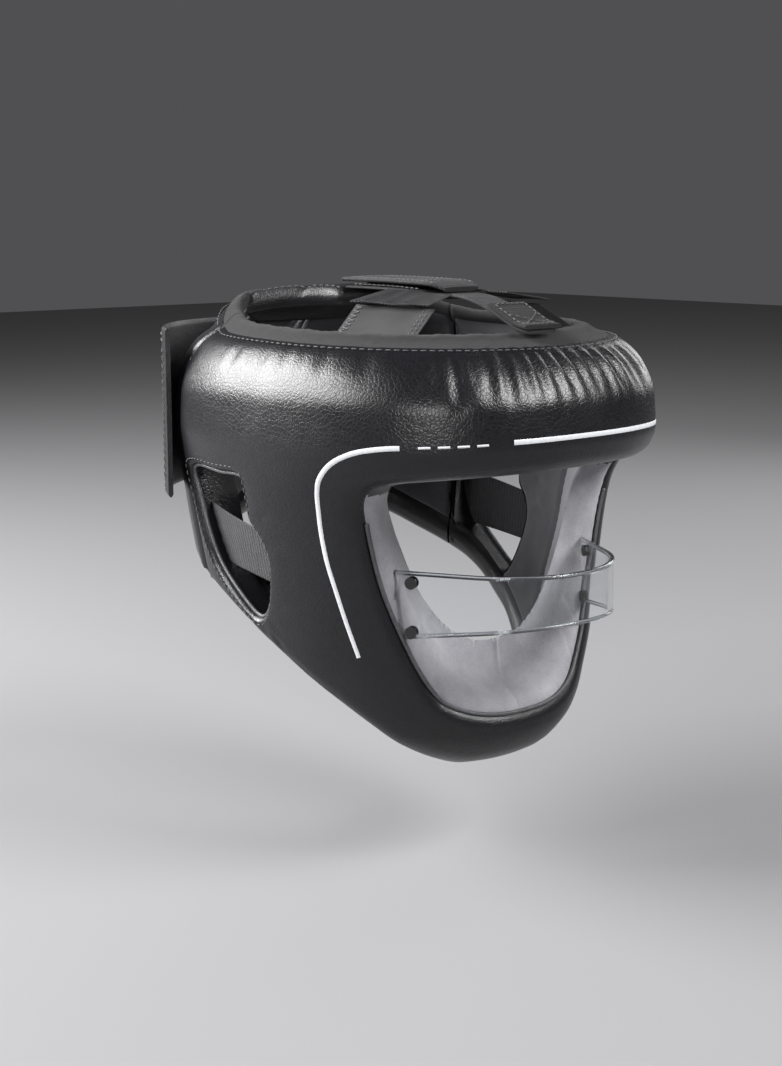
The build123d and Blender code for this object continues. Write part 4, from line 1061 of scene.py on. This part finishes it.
for sg in (1, -1):
    i0, i1 = 4, len(Tp) // 2 + 6
    xs = np.linspace(-9.5, 9.5, i1 - i0) * sg
    stitches(bs, Tp[i0:i1] + xs[:, None] * np.array([1.0, 0, 0]), Na[i0:i1], 2.0, 1.1, 0.28, 0.1)
for sx in (-14.5, 14.5):
    stitches(bs, Cs[3:-3] + Ns[3:-3] * 2.15 + np.array([sx, 0, 0]), Ns[3:-3], 2.2, 1.2, 0.28, 0.1)
ob = bs.make("crown_strap_stitches", [M_THREAD]); finish_piece(ob, "shell")

TAB = [(-37.0, 119.95, 22), (-33.0, 121.4, 26), (-26.0, 122.4, 31), (-10.0, 122.8, 32), (6.0, 122.95, 32), (24.0, 122.9, 32), (31.0, 122.9, 33)]
_, (Ct, St, Nt, Wt) = strap_piece("crown_tab_flap", TAB, 32, 2.0, [M_WEB], "crown_tab_body", "webbing", ["crown_tab"], n=80, across=50, puff=0.6, wob=0.0, along_ribs=2.2, rib_h=0.7)
bs = Build()
top_ = Ct + Nt * 2.25
for sx in (-12.5, 12.5):
    stitches(bs, top_[8:-4] + np.array([sx, 0, -0.25]), Nt[8:-4], 2.1, 1.2, 0.28, 0.1)
for i in (-6, -9, 18, 22):
    xs = np.linspace(-12.5, 12.5, 24)
    stitches(bs, top_[i] + xs[:, None] * np.array([1.0, 0, 0]) - Nt[i] * (np.abs(xs) / 16)[:, None] ** 2 * 0.5, Nt[i], 2.1, 1.1, 0.28, 0.1)
ob = bs.make("crown_tab_stitches", [M_THREAD]); finish_piece(ob, "crown_tab_body")
strap_piece("crown_hook_pad", [(-8.0, 122.05, 22), (5.0, 122.15, 22), (18.0, 122.15, 22)], 22, 0.55, [M_HOOK], "crown_tab_body", "hook_loop", ["crown_hook_patch"], n=40, across=36)


# side panels and their webbing
def rim(a, zz, extra=0.4):
    return surf(a, zz, float(thick(a, zz)) + extra)


def flat_quad(p0, p1, p2, upn):
    a, b_, c = (np.array(q, float) for q in (p0, p1, p2))
    n = np.cross(b_ - a, c - a); n /= np.linalg.norm(n)
    if n[2] < 0: n = -n
    d_ = np.array(upn, float); d_ = d_ - n * np.dot(d_ - a, n)
    return a, b_, c, d_, n


def quad_piece(name, corners, n, t, mats, side, nodes, sag=0.0, rib=0.0, ns=40, nt=40, sheet=None, dz=0.0):
    a, b_, c, d_ = corners
    s = np.linspace(0, 1, ns); u = np.linspace(0, 1, nt)
    top, bot = [], []
    for si in s:
        rt, rb = [], []
        for ui in u:
            p = (a * (1 - si) + b_ * si) * (1 - ui) + (d_ * (1 - si) + c * si) * ui
            sg = -sag * 16 * si * (1 - si) * ui * (1 - ui) + 0.35 * math.sin(si * 9 + ui * 4) * (4 * si * (1 - si))
            e = min(1, 8 * min(si, 1 - si, ui, 1 - ui) + 0.35)
            ribv = rib * 0.5 * (math.cos(2 * math.pi * si * np.linalg.norm(b_ - a) / 2.1) - 1) * 0.5 if rib else 0
            rt.append(p + n * (t * (0.5 + 0.5 * e) + sg + ribv) + [0, 0, dz]); rb.append(p + n * (t * (0.5 - 0.5 * e) + sg - ribv) + [0, 0, dz])
        top.append(rt); bot.append(rb)
    top, bot = np.array(top), np.array(bot)
    Vv = np.concatenate([top, bot[:, ::-1]], 1).reshape(-1, 3)
    Fc = grid_faces(ns, 2 * nt, closed=True) + [tuple(range(2 * nt))[::-1], tuple((ns - 1) * 2 * nt + j for j in range(2 * nt))]
    if side > 0:
        Vv = Vv * [-1, 1, 1]
    ob = new_mesh(name, Vv, Fc, mats=mats)
    finish_piece(ob, "shell", nodes, auto=50)
    return ob, top


for side, nm in ((-1, "right"), (1, "left")):
    a, b_, c, d_ = rim(-70, 93.0, 1.4), rim(-43, 94.5, 1.4), np.array([-34.0, -56.0, 112.6]), np.array([-38.0, -6.0, 113.0])
    n_ = np.cross(b_ - a, c - a); n_ /= np.linalg.norm(n_)
    ob, top = quad_piece("crown_side_panel_" + nm, (a, b_, c, d_), n_, 1.6, [M_PANEL], side, ["crown_panel_" + nm], sag=0.9)
    wd_ = (np.linalg.norm(b_ - a) + np.linalg.norm(c - d_)) / 2
    bs = Build()
    mir = np.array([-1.0, 1, 1]) if side > 0 else np.array([1.0, 1, 1])
    N_ = n_ * mir
    zigzag(bs, (top[3, 2:-2] + n_ * 0.1) * mir, N_, 3.4, 2.0, 0.28, 0.1)
    stitches(bs, (top[-3, 2:-2] + n_ * 0.1) * mir, N_, 2.2, 1.2, 0.28, 0.1)
    stitches(bs, (top[-5, 2:-2] + n_ * 0.1) * mir, N_, 2.2, 1.2, 0.28, 0.1)
    ob = bs.make("crown_panel_stitches_" + nm, [M_THREAD]); finish_piece(ob, "shell")
    a, b_, c, d_, n_ = flat_quad((-45.0, -9.0, 113.0), (-39.0, -57.0, 112.8), (-17.9, -50.0, 116.6), (-17.9, -6.0, 117.0))
    ob, top = quad_piece("crown_side_web_" + nm, (a, b_, c, d_), n_, 1.4, [M_WEB], side, ["crown_web_" + nm], sag=0.0, rib=1.6, ns=120, nt=30, dz=1.9)

# the ring keeps its CAD shape
for nm, m_ in (("crown_ring", M_RING), ("visor_studs", M_STUD), ("visor", M_VISOR)):
    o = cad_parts[nm]
    o.data.materials.clear() if False else None
    for i in range(max(1, len(o.material_slots))):
        if len(o.material_slots) == 0:
            o.data.materials.append(m_)
        else:
            o.material_slots[i].material = m_

# ------------------------------------------------------------------ rear closure
CLOSURE_Z, CLOSURE_T = (20.0, 102.0), 2.4
T0, T1 = -(360 - 128.0), -121.0


def plan_ribbon(name, a0, a1, w_out, t, z0, z1, mats, body, slot, nodes, n=120, across=60, zref=60.0, edge_fold=0.0, bend=0.0, **k):
    a = np.linspace(a0, a1, n)
    C = surf(a, np.full(n, zref), np.full(n, w_out + t)); C[:, 2] = (z0 + z1) / 2
    S = np.tile([0, 0, 1.0], (n, 1))
    T = np.gradient(C, axis=0); T /= np.linalg.norm(T, axis=1)[:, None]
    N = np.cross(T, S)
    rad = C * [1, 1, 0]
    if (N * rad).sum(1).mean() < 0: N = -N
    V_, F_ = ribbon(C, S, N, z1 - z0, t, across=across, **k)
    ob = new_mesh(name, V_, F_, mats=mats)
    finish_piece(ob, body, nodes, auto=50)
    return ob, C, S, N


ob, C, S, N = plan_ribbon("rear_closure_flap", T0, T1, -3.4 - CLOSURE_T, CLOSURE_T, CLOSURE_Z[0], CLOSURE_Z[1], [M_COVER2], "closure_strap", "strap_fabric", ["rear_closure_strap"])
bs = Build()
outp = C + N * (CLOSURE_T + 0.12)
for zz in (-37.5, -34.5, 34.5, 37.5):
    stitches(bs, outp[3:-3] + np.array([0, 0, zz]), N[3:-3], 2.4, 1.4, 0.3, 0.1)
for i in (4, 7, -5, -8):
    zs = np.linspace(-34, 34, 60)
    stitches(bs, outp[i] + zs[:, None] * np.array([0, 0, 1.0]), N[i], 2.4, 1.4, 0.3, 0.1)
ob = bs.make("closure_flap_stitches", [M_THREAD]); finish_piece(ob, "closure_strap")
plan_ribbon("closure_hook_pad", T0 + 2, T0 + 24, -3.1, 1.1, CLOSURE_Z[0] + 8, CLOSURE_Z[1] - 26, [M_HOOK], "closure_strap", "hook_loop", ["closure_hook_patch"], n=40)
plan_ribbon("closure_loop_pad", T0 + 1, T0 + 30, -1.6, 1.1, CLOSURE_Z[0] + 30, CLOSURE_Z[1] - 32, [M_HOOK], "shell", "hook_loop", ["closure_loop_patch"], n=40)
# elastic across the gap at the back
a = np.linspace(-(360 - 166.0), -166.0, 60)
lo_, hi_ = surf(a, np.full(60, 24.0), thick(a, 24.0) + 2.1), surf(a, np.full(60, 88.0), thick(a, 88.0) + 2.1)
C = (lo_ + hi_) / 2; S = hi_ - lo_; wid = np.linalg.norm(S, axis=1); S /= wid[:, None]
Tn = np.gradient(C, axis=0); N = np.cross(Tn, S); N /= np.linalg.norm(N, axis=1)[:, None]
if N[:, 1].mean() < 0: N = -N
V_, F_ = ribbon(C, S, N, wid, 1.3, across=90, ribs=16, rib_h=0.6)
ob = new_mesh("rear_elastic_band", V_, F_, mats=[M_WEB])
finish_piece(ob, "shell", ["rear_elastic"])

# ------------------------------------------------------------------ visor edges
NOSE_Y, NOSE_R, END_X, END_Y = -118.0, 52.0, 68.0, -50.0


def visor_line(off=0.0, n=60, start=0.0):
    cy = NOSE_Y + NOSE_R
    L = math.hypot(END_X, END_Y - cy)
    base = math.atan2(END_Y - cy, END_X); ang = base - math.acos(NOSE_R / L)
    nx, ny = math.cos(ang), math.sin(ang)
    tx, ty = (NOSE_R + off) * nx, cy + (NOSE_R + off) * ny
    e = np.array([END_X + off * nx, END_Y + off * ny])
    leg = np.linspace(e, [tx, ty], n)[int(start * n):]
    arc = [((NOSE_R + off) * math.cos(t), cy + (NOSE_R + off) * math.sin(t)) for t in np.linspace(ang, -math.pi - ang, 30)[1:-1]]
    p = np.vstack([leg, arc, leg[::-1] * [-1, 1]])
    return p


for nm in ("visor_edge_top", "visor_edge_low"):
    p = visor_line(0.0, 60, 0.04)
    zz = np.full(len(p), -3.7) if nm.endswith("top") else np.maximum(-36.0, -36.7 + (-45 - p[:, 1]) * (11.3 / 85)) + 0.7
    P = np.stack([p[:, 0], p[:, 1], zz], -1)
    V_, F_ = tube(resample(P, 200), 1.3, 12, ref=(0, 0, 1), flat=0.8)
    ob = new_mesh(nm, V_, F_, mats=[M_BEAD]); finish_piece(ob, "shell")

# ------------------------------------------------------------------ floor and light
bpy.ops.mesh.primitive_plane_add(size=8, location=(0, 0, -0.150))
floor = bpy.context.object; floor.name = "floor"
m, nt, p = mat("floor_pale")
p.inputs["Base Color"].default_value = (0.20, 0.20, 0.205, 1); p.inputs["Roughness"].default_value = 0.9
floor.data.materials.append(m)


def area(name, loc, target, size, power, size_y=None, col=(1, 1, 1)):
    l = bpy.data.lights.new(name, "AREA"); l.energy = power; l.size = size; l.color = col
    if size_y: l.shape = "RECTANGLE"; l.size_y = size_y
    o = bpy.data.objects.new(name, l); bpy.context.collection.objects.link(o)
    o.location = loc
    o.rotation_euler = (Vector(target) - Vector(loc)).to_track_quat("-Z", "Y").to_euler()
    return o


area("key_left", (-0.85, 1.0, 0.75), (0, 0, 0.05), 1.0, 62, 0.9)
area("key_side", (-1.35, 0.35, 0.9), (0, 0, 0.05), 0.8, 26, 0.7)
area("key_front_right", (0.6, -1.1, 1.05), (0, -0.05, 0.06), 0.8, 34, 0.6)
area("rim_right", (1.3, 0.3, 0.5), (0, 0, 0.02), 0.5, 4, 0.7)
area("cheek_fill", (-0.9, -1.0, 0.35), (0.05, -0.03, -0.05), 0.3, 5.5, 0.3)
world = bpy.data.worlds.new("world"); bpy.context.scene.world = world; world.use_nodes = True
world.node_tree.nodes["Background"].inputs[0].default_value = (0.50, 0.50, 0.52, 1)
world.node_tree.nodes["Background"].inputs[1].default_value = 0.16
bpy.context.scene.view_settings.view_transform = "Standard"
